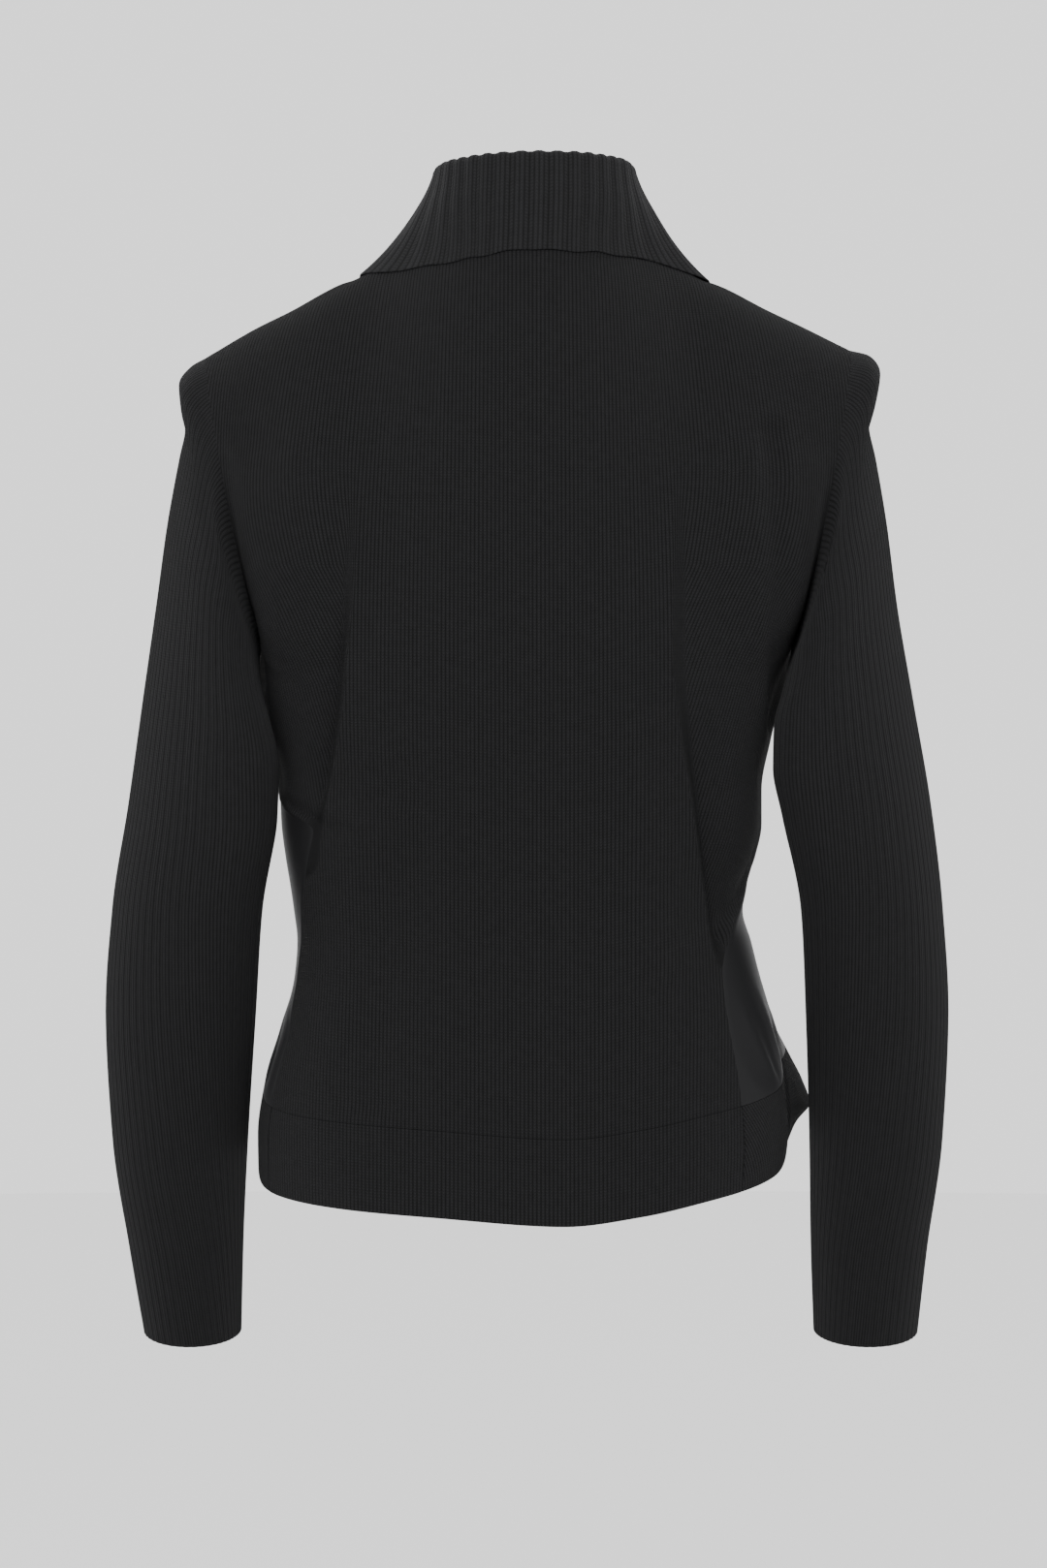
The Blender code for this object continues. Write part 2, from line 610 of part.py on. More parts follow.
def zip_edges(mesh, first, second):
    """Triangles between two rows of vertices that run side by side."""
    i, j = 0, 0
    while i < len(first) - 1 or j < len(second) - 1:
        next_i = (i + 1) / (len(first) - 1)
        next_j = (j + 1) / (len(second) - 1)
        if j == len(second) - 1 or (i < len(first) - 1 and next_i <= next_j + 1e-9):
            mesh.faces.new((first[i], first[i + 1], second[j]))
            i += 1
        else:
            mesh.faces.new((first[i], second[j + 1], second[j]))
            j += 1


def add_grid(mesh, points, closed):
    """One side of a wall: its vertices, with the first column again at the end if closed."""
    grid = [[mesh.verts.new(point * MM) for point in row] for row in points]
    if closed:
        grid = [row + row[:1] for row in grid]
    for low, high in zip(grid, grid[1:]):
        for column in range(len(low) - 1):
            mesh.faces.new((low[column], low[column + 1], high[column + 1], high[column]))
    return grid


def wall_object(name, outer, inner, finish, collection, closed=False):
    """A closed solid between an outer and an inner sheet of points."""
    mesh = bmesh.new()
    outside, inside = add_grid(mesh, outer, closed), add_grid(mesh, inner, closed)
    zip_edges(mesh, outside[0], inside[0])
    zip_edges(mesh, outside[-1], inside[-1])
    if not closed:
        for column in (0, -1):
            zip_edges(mesh, [row[column] for row in outside], [row[column] for row in inside])
    bmesh.ops.recalc_face_normals(mesh, faces=mesh.faces)
    data = bpy.data.meshes.new(name)
    mesh.to_mesh(data)
    mesh.free()
    data.shade_smooth()
    data.set_sharp_from_angle(angle=math.radians(50))
    data.materials.append(material(finish))
    thing = bpy.data.objects.new(name, data)
    collection.objects.link(thing)
    return thing


def material(finish):
    found = bpy.data.materials.get(finish.name)
    if found:
        return found
    made = bpy.data.materials.new(finish.name)
    made.use_nodes = True
    shader = made.node_tree.nodes["Principled BSDF"]
    shader.inputs["Base Color"].default_value = (*finish.color, 1)
    shader.inputs["Roughness"].default_value = finish.roughness
    shader.inputs["Metallic"].default_value = 0.0
    return made


def share_seam_normals(back, fronts):
    """Neighbours get the same direction at a seam, so that their walls meet in a mitre."""
    _, back_normals = back
    body_top = BAND_ROWS + len(LEVELS)
    for side, (_, normals) in fronts.items():
        column = -1 if side > 0 else 0
        both = unit(back_normals[:body_top, column] + normals[:body_top, 0])
        back_normals[:body_top, column] = both
        normals[:body_top, 0] = both
        centre = len(BACK_TOP) - 1
        for step, share in enumerate(BACK_TOP):
            if share < NECK_SHARE:
                continue
            match = min(range(len(FRONT_TOP)), key=lambda i: abs(FRONT_TOP[i] - share))
            normal = unit(back_normals[-1, centre + side * step] + normals[-1, match])
            back_normals[-1, centre + side * step] = normal
            normals[-1, match] = normal


def armhole_seam(side, back, front):
    """The body's armhole edge from the shoulder down, behind (1) and in front (-1), with the
    directions out of the body there."""
    rows = slice(BAND_ROWS + len(LEVELS) - 1, None)
    column = -1 if side > 0 else 0
    paths = {1: back[0][rows, column][::-1], -1: front[0][rows, 0][::-1]}
    facings = {1: back[1][rows, column][::-1], -1: front[1][rows, 0][::-1]}
    return paths, facings


def mitre_armhole(side, back, front, sleeve):
    """Gives the body and the sleeve one direction along the armhole, so that their walls meet
    in a mitre."""
    paths, facings = armhole_seam(side, back, front)
    rows = slice(BAND_ROWS + len(LEVELS) - 1, None)
    points, normals = sleeve
    unbent = normals[0].copy()
    for face in (1, -1):
        path = paths[face]
        columns = [i if face > 0 else -i for i in range(SLEEVE_RIBS + 1)]
        sleeve_path, sleeve_facing = points[0, columns], unbent[columns]
        length = np.concatenate(([0], np.cumsum(np.linalg.norm(np.diff(path, axis=0), axis=1))))
        shares = length / length[-1]
        mitre = unit(facings[face] + np.array([along(sleeve_path, sleeve_facing, share)
                                               for share in shares]))
        for _ in range(MITRE_SMOOTHING):
            mitre[1:-1] = unit(mitre[:-2] + 2 * mitre[1:-1] + mitre[2:])
        for i, column in enumerate(columns):
            share = rib_share(i, SLEEVE_RIBS, length[-1])
            normals[0, column] = unit(along(path, mitre, share))
        normals_of_body, column = (back[1], -1 if side > 0 else 0) if face > 0 else (front[1], 0)
        normals_of_body[rows, column] = mitre[::-1]


def build_body(collection, back, fronts):
    sheets = {"back": (back, "band_back", JERSEY, JERSEY_WALL)}
    for side, word in ((1, "left"), (-1, "right")):
        sheets[f"front_{word}"] = (fronts[side], f"band_{word}", SMOOTH, SMOOTH_WALL)
    for name, ((points, normals), band_name, finish, thickness) in sheets.items():
        panel, facing = points[BAND_ROWS:], normals[BAND_ROWS:]
        seams = ["bottom", "top", "first"] + (["last"] if name == "back" else [])
        outer = draw_back(panel, facing, seams)
        wall_object(name, outer, outer - facing * thickness, finish, collection)
        band, facing = points[:BAND_ROWS + 1], normals[:BAND_ROWS + 1]
        seams = ["top", "first"] + (["last"] if name == "back" else [])
        outer = draw_back(band, facing, seams)
        wall_object(band_name, outer, outer - facing * BAND_WALL, JERSEY, collection)


def sleeve_inside(plain, normals, armhole):
    """The plain inside of a sleeve. Its columns start at the body's vertices round the armhole
    and go over to even steps in the next few rings."""
    rows = []
    for index, (ring, facing) in enumerate(zip(plain, normals)):
        even = fade(index, 0, 4)
        row = []
        for face in (1, -1):
            path = armhole[face]
            length = np.concatenate(([0], np.cumsum(np.linalg.norm(np.diff(path, axis=0), axis=1))))
            count = len(path) - 1
            half = [i if face > 0 else -i for i in range(SLEEVE_RIBS + 1)]
            line, out = ring[half], facing[half]
            for step in range(count):
                place = step if face > 0 else count - step
                share = length[place] / length[-1]
                share += (place / count - share) * even
                row.append(along(line, line, share) - along(line, out, share) * SLEEVE_WALL)
        rows.append(row)
    return np.array(rows)


def build_sleeve(collection, side, sleeve, armhole):
    points, normals = sleeve
    plain = draw_back(points, normals, ["bottom"], ARMHOLE_GAP - SEAM_GAP / 2)
    relief = np.where(np.arange(plain.shape[1]) % 2 == 0, 0.5, -0.5) * SLEEVE_RELIEF
    grown = np.array([min(row / 2, 1.0) for row in range(len(plain))])
    outer = plain + normals * (grown[:, None] * relief[None, :])[:, :, None]
    inner = sleeve_inside(plain, normals, armhole)
    name = "sleeve_left" if side > 0 else "sleeve_right"
    wall_object(name, outer, inner, RIB, collection, closed=True)


def build_collar(collection):
    points, normals = collar_sheet()
    relief = np.where(np.arange(points.shape[1]) % 2 == 0, -0.5, 0.5) * COLLAR_RELIEF
    grown = np.array([min(row / 2, 1.0) for row in range(len(points))])
    outer = points + normals * (grown[:, None] * relief[None, :])[:, :, None]
    columns = slice(None, None, COLLAR_INSIDE_STEP)
    inner = (points - normals * COLLAR_WALL)[:, columns]
    wall_object("collar", outer, inner, RIB, collection)


def build_jacket():
    for thing in list(bpy.data.objects):
        bpy.data.objects.remove(thing, do_unlink=True)
    collection = bpy.data.collections.new("knit_jacket")
    bpy.context.scene.collection.children.link(collection)
    back = back_sheet()
    fronts = {side: front_sheet(side) for side in (1, -1)}
    share_seam_normals(back, fronts)
    sleeves = {}
    for side in (1, -1):
        paths, _ = armhole_seam(side, back, fronts[side])
        sleeves[side] = sleeve_sheet(side, paths)
        mitre_armhole(side, back, fronts[side], sleeves[side])
    build_body(collection, back, fronts)
    for side in (1, -1):
        build_sleeve(collection, side, sleeves[side], armhole_seam(side, back, fronts[side])[0])
    build_collar(collection)


build_jacket()
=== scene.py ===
"""A knit jacket, filled out as it is worn and seen from behind.

The back and the hem band are black jersey, the sleeves and the fold-over collar rib knit, and
the two fronts a smooth satin-faced cloth. +Z is up, the fronts face -Y and the wearer's left is
+X. Sizes and places are in millimetres, and the meshes are written in metres.
"""
import math
from collections import namedtuple

import bmesh
import bpy
import numpy as np
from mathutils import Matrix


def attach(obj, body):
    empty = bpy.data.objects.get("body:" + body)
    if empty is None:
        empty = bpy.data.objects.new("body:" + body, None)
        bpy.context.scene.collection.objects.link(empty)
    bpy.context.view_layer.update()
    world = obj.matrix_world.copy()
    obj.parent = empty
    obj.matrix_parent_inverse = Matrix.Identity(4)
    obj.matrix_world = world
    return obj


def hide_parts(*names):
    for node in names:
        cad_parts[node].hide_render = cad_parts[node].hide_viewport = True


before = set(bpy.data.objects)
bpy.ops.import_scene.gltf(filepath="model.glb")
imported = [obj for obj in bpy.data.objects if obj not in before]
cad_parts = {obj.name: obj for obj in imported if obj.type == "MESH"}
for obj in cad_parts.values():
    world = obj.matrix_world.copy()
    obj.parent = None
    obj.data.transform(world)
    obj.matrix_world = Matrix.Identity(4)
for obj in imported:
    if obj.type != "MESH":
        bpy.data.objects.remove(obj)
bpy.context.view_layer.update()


# ---- Back -----------------------------------------------------------------------------------
# One panel of plain black jersey, from the hem band to the neck and the shoulders. It hangs on a
# general figure: each height has a rounded section, and above the underarm the columns of the
# cloth run in curves to the neckline and the shoulder seams.

MM = 0.001
JERSEY_WALL = 2.0
BODY_POWER = 2.5        # squareness of a section: 2 is an ellipse
SECTION_STEPS = 96
BAND_DEPTH = 50.0
HEM_LEVEL = -505.0      # where the band is sewn on, at the sides
HEM_EASE = 60.0
UNDERARM_LEVEL = -239.0
UNDERARM_EASE = 53.0
UNDERARM_SAG = 24.0
NECK_HALF = 67.0
NECK_BACK = 56.0
NECK_BACK_DROP = 12.0
NECK_FRONT = 62.0
NECK_FRONT_DROP = 80.0
NECK_FRONT_POWER = 1.3
NECK_SHARE = 0.41       # part of a quarter turn that is neckline, the rest is shoulder
SHOULDER_HALF = 192.0
BODY_LEVELS = np.linspace(HEM_LEVEL, UNDERARM_LEVEL, 92)
YOKE_RISES = np.linspace(0, 1, 84)[1:]

BodyRing = namedtuple("BodyRing", "z left right back front")
BODY = [
    BodyRing(-239, 158, 158, 110, 124),
    BodyRing(-255, 161, 156, 109, 123),
    BodyRing(-272, 161, 151.5, 107, 121.5),
    BodyRing(-300, 155.5, 144.5, 103, 117),
    BodyRing(-330, 148.5, 139, 99, 112),
    BodyRing(-350, 147.5, 139, 96.5, 108.5),
    BodyRing(-370, 145, 135, 94.5, 105.5),
    BodyRing(-385, 142.5, 130, 93, 103),
    BodyRing(-402, 140, 128, 92, 101.5),
    BodyRing(-420, 138, 133, 92.5, 101.5),
    BodyRing(-440, 139.5, 138, 94, 103),
    BodyRing(-472, 148, 147, 99, 107),
    BodyRing(-505, 157.5, 153, 106, 112),
    BodyRing(-535, 161.5, 155, 111, 115),
    BodyRing(-560, 161, 152, 114, 116),
    BodyRing(-582, 157, 149, 116, 117),
]

# Shoulder seams, from the neck to the armhole
ShoulderPoint = namedtuple("ShoulderPoint", "x left right")
SHOULDER = [
    ShoulderPoint(67, 0, 0), ShoulderPoint(90, -16, -16), ShoulderPoint(104, -24.8, -25),
    ShoulderPoint(111, -27, -27.2), ShoulderPoint(118, -30.2, -30), ShoulderPoint(141, -43, -42),
    ShoulderPoint(164, -54.5, -53), ShoulderPoint(192, -71, -67),
]

HemPoint = namedtuple("HemPoint", "turn z")
HEM = [
    HemPoint(-2.0, -540), HemPoint(-1.5, -537), HemPoint(-1.27, -525), HemPoint(-1.1, -537),
    HemPoint(-1.0, -541), HemPoint(-0.85, -554.5), HemPoint(-0.7, -561), HemPoint(-0.5, -568.5),
    HemPoint(-0.3, -576.5), HemPoint(-0.1, -581.5), HemPoint(0.25, -576.5), HemPoint(0.5, -573),
    HemPoint(0.7, -569), HemPoint(0.85, -564), HemPoint(1.0, -552), HemPoint(1.15, -547),
    HemPoint(1.4, -544), HemPoint(2.0, -540),
]

# The corner of the right front's band that stands away from the hip
FLAP_TURN = -1.27
FLAP_TURNS = 0.32
FlapPoint = namedtuple("FlapPoint", "z out")
FLAP = [
    FlapPoint(-440, 0), FlapPoint(-472, 10), FlapPoint(-490, 19), FlapPoint(-507, 26),
    FlapPoint(-521, 29.5), FlapPoint(-533, 17.5), FlapPoint(-550, 3), FlapPoint(-570, 0),
]

# Side seams: the knit of the back ends in a slant below the arm
SeamPoint = namedtuple("SeamPoint", "z turn")
LEFT_SEAM = [
    SeamPoint(-505, 0.78), SeamPoint(-472, 0.77), SeamPoint(-455, 0.82), SeamPoint(-437, 0.84),
    SeamPoint(-402, 0.79), SeamPoint(-370, 0.71), SeamPoint(-353, 0.67), SeamPoint(-341, 0.83),
    SeamPoint(-329, 0.98), SeamPoint(-312, 1.0), SeamPoint(-239, 1.0),
]
RIGHT_SEAM = [
    SeamPoint(-505, 0.61), SeamPoint(-472, 0.61), SeamPoint(-440, 0.63), SeamPoint(-426, 0.66),
    SeamPoint(-412, 0.74), SeamPoint(-398, 0.87), SeamPoint(-385, 0.97), SeamPoint(-370, 1.0),
    SeamPoint(-239, 1.0),
]

# The cloth's columns run along the creases: the turn of the column in each
CreasePoint = namedtuple("CreasePoint", "z turn")
LEFT_CREASE = [
    CreasePoint(-505, 0.60), CreasePoint(-385, 0.64), CreasePoint(-370, 0.63),
    CreasePoint(-353, 0.625), CreasePoint(-341, 0.63), CreasePoint(-313, 0.61),
    CreasePoint(-287, 0.575), CreasePoint(-262, 0.54), CreasePoint(-239, 0.53),
]
RIGHT_CREASE = [
    CreasePoint(-505, 0.52), CreasePoint(-455, 0.56), CreasePoint(-440, 0.59),
    CreasePoint(-426, 0.62), CreasePoint(-400, 0.62), CreasePoint(-368, 0.60),
    CreasePoint(-324, 0.53), CreasePoint(-280, 0.46), CreasePoint(-239, 0.42),
]

# Creases: the line of each as seen from behind, and how deep it is there as a part of the full
# depth
CreaseLine = namedtuple("CreaseLine", "z x strength")
LEFT_LINE = [
    CreaseLine(-392, 155, 0.0), CreaseLine(-374, 127, 0.0), CreaseLine(-356, 125, 0.4),
    CreaseLine(-337, 121, 0.8), CreaseLine(-316, 117, 1.0), CreaseLine(-288, 112.5, 1.0),
    CreaseLine(-254, 109, 0.9), CreaseLine(-231, 106.5, 0.6), CreaseLine(-215, 105, 0.3),
    CreaseLine(-185, 103, 0.0),
]
RIGHT_LINE = [
    CreaseLine(-444, 150, 0.0), CreaseLine(-432, 115, 0.2), CreaseLine(-422, 111, 0.6),
    CreaseLine(-393, 106.5, 1.0), CreaseLine(-366, 102.5, 1.0), CreaseLine(-333, 98, 0.8),
    CreaseLine(-305, 93, 0.5), CreaseLine(-285, 90, 0.2), CreaseLine(-262, 87, 0.0),
]

# Columns of half the back, and where the same columns end at the neckline and shoulder
BackColumn = namedtuple("BackColumn", "place in_crease past_crease top")
BACK_COLUMNS = [
    BackColumn(0, 0, 0, 0), BackColumn(1, 0.17, 0, 0.10), BackColumn(2, 0.34, 0, 0.205),
    BackColumn(3, 0.51, 0, 0.31), BackColumn(4, 0.68, 0, 0.41), BackColumn(5, 0.84, 0, 0.50),
    BackColumn(6, 0.95, 0, 0.57), BackColumn(7, 1, 0, 0.63), BackColumn(8, 1, 0.2, 0.70),
    BackColumn(9, 1, 0.5, 0.80), BackColumn(10, 1, 0.78, 0.90), BackColumn(11, 1, 1, 1),
]
BACK_STEPS = 6          # columns of the mesh between two of the table's

YokeColumn = namedtuple("YokeColumn", "share low_x low_y low_z top_x top_y top_z")
BACK_YOKE = [
    YokeColumn(0.0, 0, 5, 80, 0, 30, -55),
    YokeColumn(0.2, 1, 5, 80, 14, 36, -47),
    YokeColumn(0.41, 1, 6, 84, 34, 34, -35),
    YokeColumn(0.6, 1, 8, 80, 12, 58, -20),
    YokeColumn(0.8, 3, 25, 56, 3, 68, -10),
    YokeColumn(1.0, 5, 70, 0, 2, 70, -6),
]

# Soft folds, as straight troughs seen from behind (face 1) or in front (face -1): the two ends,
# the half width and the depth, negative for a ridge
Fold = namedtuple("Fold", "face x0 z0 x1 z1 reach depth")
FOLDS = [
    Fold(1, -143, -120, -149, -290, 12, 4.0),
    Fold(1, -131, -130, -136, -290, 10, -1.0),
    Fold(1, 156, -130, 129, -225, 20, 1.8),
    Fold(1, 70, -330, 92, -520, 30, 2.5),
    Fold(1, -62, -300, -78, -430, 26, -2.5),
    Fold(-1, 120, -150, 70, -330, 26, 4.0),
    Fold(-1, -125, -150, -80, -300, 26, 4.0),
    Fold(-1, 60, -380, 80, -490, 24, 3.0),
    Fold(-1, -70, -360, -60, -490, 24, 3.0),
]


def through(table, key, field, at):
    """Values on a smooth curve through a table's rows, which never overshoots them."""
    places = np.array([getattr(row, key) for row in table], float)
    values = np.array([getattr(row, field) for row in table], float)
    if places[0] > places[-1]:
        places, values = places[::-1], values[::-1]
    slopes = np.diff(values) / np.diff(places)
    before, after = slopes[:-1], slopes[1:]
    same = before * after > 0
    inner = np.where(same, 2 * before * after / np.where(same, before + after, 1), 0)
    tangents = np.concatenate((slopes[:1], inner, slopes[-1:]))
    at = np.clip(at, places[0], places[-1])
    i = np.clip(np.searchsorted(places, at, "right") - 1, 0, len(slopes) - 1)
    span = places[i + 1] - places[i]
    t = (at - places[i]) / span
    start = (1 + 2 * t) * (1 - t) ** 2 * values[i] + t * (1 - t) ** 2 * span * tangents[i]
    end = t * t * (3 - 2 * t) * values[i + 1] + t * t * (t - 1) * span * tangents[i + 1]
    return start + end


def fade(value, none, full):
    """0 at none, 1 at full, with a soft start and end."""
    t = np.clip((value - none) / (full - none), 0, 1)
    return t * t * (3 - 2 * t)


def unit(vectors):
    return vectors / np.maximum(np.linalg.norm(vectors, axis=-1, keepdims=True), 1e-9)


def quarter(turn):
    """Part of a quarter of the section, from the centre of the back or front to the side."""
    return np.where(np.abs(turn) <= 1, np.abs(turn), 2 - np.abs(turn))


def body_point(turn, z):
    """Points of the body's sections. A turn is 0 at the centre back, 1 at the left side and 2 at
    the centre front, and the same with a minus sign round the right side."""
    turn, z = np.broadcast_arrays(np.asarray(turn, float), np.asarray(z, float))
    side = np.where(turn >= 0, 1, -1)
    half = np.where(side > 0, through(BODY, "z", "left", z), through(BODY, "z", "right", z))
    depth = np.where(np.abs(turn) <= 1, through(BODY, "z", "back", z),
                     through(BODY, "z", "front", z))
    angles = np.linspace(0, math.pi / 2, SECTION_STEPS + 1)
    xs = half[..., None] * np.sin(angles) ** (2 / BODY_POWER)
    ys = depth[..., None] * np.clip(np.cos(angles), 0, 1) ** (2 / BODY_POWER)
    length = np.cumsum(np.hypot(np.diff(xs), np.diff(ys)), axis=-1)
    length = np.concatenate((np.zeros_like(length[..., :1]), length), axis=-1)
    place = (quarter(turn) * length[..., -1])[..., None]
    i = np.clip((length[..., 1:] < place).sum(-1), 0, SECTION_STEPS - 1)[..., None]
    low, high = np.take_along_axis(length, i, -1), np.take_along_axis(length, i + 1, -1)
    t = np.clip((place - low) / (high - low), 0, 1)
    angle = ((i + t) * angles[1])[..., 0]
    x = half * np.sin(angle) ** (2 / BODY_POWER)
    y = depth * np.clip(np.cos(angle), 0, 1) ** (2 / BODY_POWER)
    y = np.where(np.abs(turn) <= 1, y, -y)
    around = np.clip(1 - np.abs(turn - FLAP_TURN) / FLAP_TURNS, 0, 1)
    flap = around ** 1.5 * through(FLAP, "z", "out", z) * (turn < -1)
    return np.stack((side * x - flap, y, z), axis=-1)


def hem_height(turn):
    return through(HEM, "turn", "z", turn)


def level_height(turn, level):
    """Height of a row of the body: it follows the hem below and sags a little above."""
    slope = hem_height(turn) + BAND_DEPTH - HEM_LEVEL
    low = 1 - fade(level, HEM_LEVEL, HEM_LEVEL + HEM_EASE)
    high = fade(level, UNDERARM_LEVEL - UNDERARM_EASE, UNDERARM_LEVEL)
    return level + slope * low - UNDERARM_SAG * high * fade(quarter(turn), 1.0, 0.62)


def neck_point(turn):
    """The seam between the body and the collar."""
    turn = np.asarray(turn, float)
    behind = np.abs(turn) <= 1
    angle = quarter(turn) * math.pi / 2
    lean = np.clip(np.cos(angle), 0, 1)
    x = np.where(turn >= 0, 1, -1) * NECK_HALF * np.sin(angle)
    y = np.where(behind, NECK_BACK, -NECK_FRONT) * lean
    z = -np.where(behind, NECK_BACK_DROP * lean, NECK_FRONT_DROP * lean ** NECK_FRONT_POWER)
    return np.stack((x, y, z), axis=-1)


def top_point(turn):
    """Where a column ends: on the neckline, or on the shoulder seam."""
    side = np.where(turn >= 0, 1, -1)
    share = quarter(turn)
    part = np.clip(share / NECK_SHARE, 0, 1)
    neck = neck_point(side * np.where(np.abs(turn) <= 1, part, 2 - part))
    x = NECK_HALF + (SHOULDER_HALF - NECK_HALF) * (share - NECK_SHARE) / (1 - NECK_SHARE)
    z = np.where(side > 0, through(SHOULDER, "x", "left", x), through(SHOULDER, "x", "right", x))
    shoulder = np.stack((side * x, np.zeros_like(x), z), axis=-1)
    return np.where((share <= NECK_SHARE)[..., None], neck, shoulder)


def yoke_point(turn, top_turn, rise, yoke):
    """Above the underarm: a curve from the underarm row to the neckline or shoulder."""
    now = turn + (top_turn - turn) * rise
    side = np.where(turn >= 0, 1, -1)
    share = quarter(now)
    handles = [through(yoke, "share", field, share) for field in YokeColumn._fields[1:]]
    low = np.stack((side * handles[0], handles[1], handles[2]), axis=-1)
    top = np.stack((side * handles[3], handles[4], handles[5]), axis=-1)
    start, end = body_point(now, level_height(now, UNDERARM_LEVEL)), top_point(now)
    a, b = 1 - rise, rise
    return (a ** 3 * start + 3 * a * a * b * (start + low)
            + 3 * a * b * b * (end + top) + b ** 3 * end)


def panel_rows(columns_at, top_turns, yoke):
    """Points of a body panel, from the band's seam to the neckline and shoulder."""
    rows = []
    for level in BODY_LEVELS:
        turns = columns_at(level)
        rows.append(body_point(turns, level_height(turns, level)))
    turns = columns_at(UNDERARM_LEVEL)
    rows += [yoke_point(turns, top_turns, rise, yoke) for rise in YOKE_RISES]
    return np.array(rows)


def facing(points, closed=False):
    """Directions out of a sheet whose columns run to the wearer's left round the back."""
    if closed:
        ring = points[:, :-1]
        across = np.roll(ring, -1, axis=1) - np.roll(ring, 1, axis=1)
        across = np.concatenate((across, across[:, :1]), axis=1)
    else:
        across = np.gradient(points, axis=1)
    return unit(np.cross(np.gradient(points, axis=0), across))


def lengths(points, axis):
    """Length from the first point of each row or column of a sheet."""
    steps = np.linalg.norm(np.diff(points, axis=axis), axis=-1)
    start = np.zeros_like(np.take(steps, [0], axis=axis))
    return np.concatenate((start, np.cumsum(steps, axis=axis)), axis=axis)


def fold_depth(points, face):
    """Depth of the soft folds at each point, from the straight line of each."""
    total = np.zeros(points.shape[:-1])
    for fold in FOLDS:
        if fold.face != face:
            continue
        run = np.array([fold.x1 - fold.x0, fold.z1 - fold.z0])
        way = points[..., [0, 2]] - np.array([fold.x0, fold.z0])
        share = np.clip(way @ run / (run @ run), 0, 1)
        distance = np.linalg.norm(way - share[..., None] * run, axis=-1)
        total += fold.depth * (1 - fade(distance, 0, fold.reach))
    return total


def soften(points, weight, times):
    """Evens a sheet out from column to column, as far as the weight of each point says."""
    for _ in range(times):
        even = (points[:, :-2] + 2 * points[:, 1:-1] + points[:, 2:]) / 4
        points[:, 1:-1] += weight[:, 1:-1, None] * (even - points[:, 1:-1])


CORNER_PASSES = 80      # how often the yoke is evened out below the corner of the neckline
YOKE_PASSES = 60        # and how often round the row where the yoke starts
YOKE_REACH = (6, 26)    # rows from there over which that fades


def join_yoke(points, tops):
    """Takes out the corners that the columns have where the yoke starts, and the line that the
    corner of the neckline leaves in the yoke."""
    soften(points, corner_weight(tops), CORNER_PASSES)
    rows = np.arange(len(points)) - len(BODY_LEVELS)
    near = 1 - fade(np.abs(rows), *YOKE_REACH)
    inside = fade(quarter(tops), 1.0, 0.88)
    weight = near[:, None] * inside
    soften(points.transpose(1, 0, 2), weight.T, YOKE_PASSES)


def corner_weight(tops):
    """Where the corner between the neckline and the shoulder seam would leave a line in the
    cloth: everywhere below it in the yoke, but not at the seam itself."""
    near = 1 - fade(np.abs(quarter(tops) - NECK_SHARE), 0.2, 0.42)
    rise = fade(YOKE_RISES, 0, 0.2) * (1 - fade(YOKE_RISES, 0.93, 1))
    weight = np.zeros((len(BODY_LEVELS) + len(YOKE_RISES), len(tops)))
    weight[len(BODY_LEVELS):] = rise[:, None] * near
    return weight


FOLD_END = 9            # folds end this far from a seam
FOLD_END_LOW = 14       # and this far above the band


def clear_of_seams(points):
    """0 at the edges of a sheet and 1 from a little way in, so that folds end at the seams."""
    across, along = lengths(points, 1), lengths(points, 0)
    return (fade(across, 0, FOLD_END) * fade(across[:, -1:] - across, 0, FOLD_END)
            * fade(along, 0, FOLD_END_LOW) * fade(along[-1:] - along, 0, FOLD_END))


CUT_ANGLE = 72          # degrees: an edge sharper than this is a cut edge
CUT_ROUNDING = 0.3      # its rounding, as a part of the wall


def cut_cloth(name, points, cloth, wall, material, closed=False, wall_shares=None):
    """A piece of cloth: a flat grid, laid out by its cloth coordinates, is put in place on the
    form, joined up at its seam if it is a tube, given its thickness inwards and rounded at its
    cut edges. Wall shares make it thinner at some of its points."""
    rows, columns = points.shape[:2]
    mesh = bmesh.new()
    bmesh.ops.create_grid(mesh, x_segments=columns - 1, y_segments=rows - 1, size=1)
    data = bpy.data.meshes.new(name)
    mesh.to_mesh(data)
    mesh.free()
    data.vertices.foreach_set("co", (points * MM).reshape(-1))
    corners = np.zeros(len(data.loops), np.int32)
    data.loops.foreach_get("vertex_index", corners)
    layer = data.uv_layers.new(name="cloth")
    layer.data.foreach_set("uv", (cloth * MM).reshape(-1, 2)[corners].reshape(-1))
    mesh = bmesh.new()
    mesh.from_mesh(data)
    if closed:
        bmesh.ops.remove_doubles(mesh, verts=mesh.verts, dist=1e-6)
    bmesh.ops.reverse_faces(mesh, faces=mesh.faces)
    for face in mesh.faces:
        face.smooth = True
    mesh.to_mesh(data)
    mesh.free()
    piece = bpy.data.objects.new(name, data)
    bpy.context.scene.collection.objects.link(piece)
    thickness = piece.modifiers.new("wall", "SOLIDIFY")
    thickness.thickness = wall * MM
    thickness.offset = -1
    if wall_shares is not None:
        group = piece.vertex_groups.new(name="wall shares")
        for index, share in enumerate(wall_shares.reshape(-1)):
            group.add([index], float(share), "REPLACE")
        thickness.vertex_group = group.name
    rounding = piece.modifiers.new("edges", "BEVEL")
    rounding.limit_method = "ANGLE"
    rounding.angle_limit = math.radians(CUT_ANGLE)
    rounding.width = CUT_ROUNDING * wall * MM
    rounding.segments = 2
    data.materials.append(material)
    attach(piece, "root")
    return piece


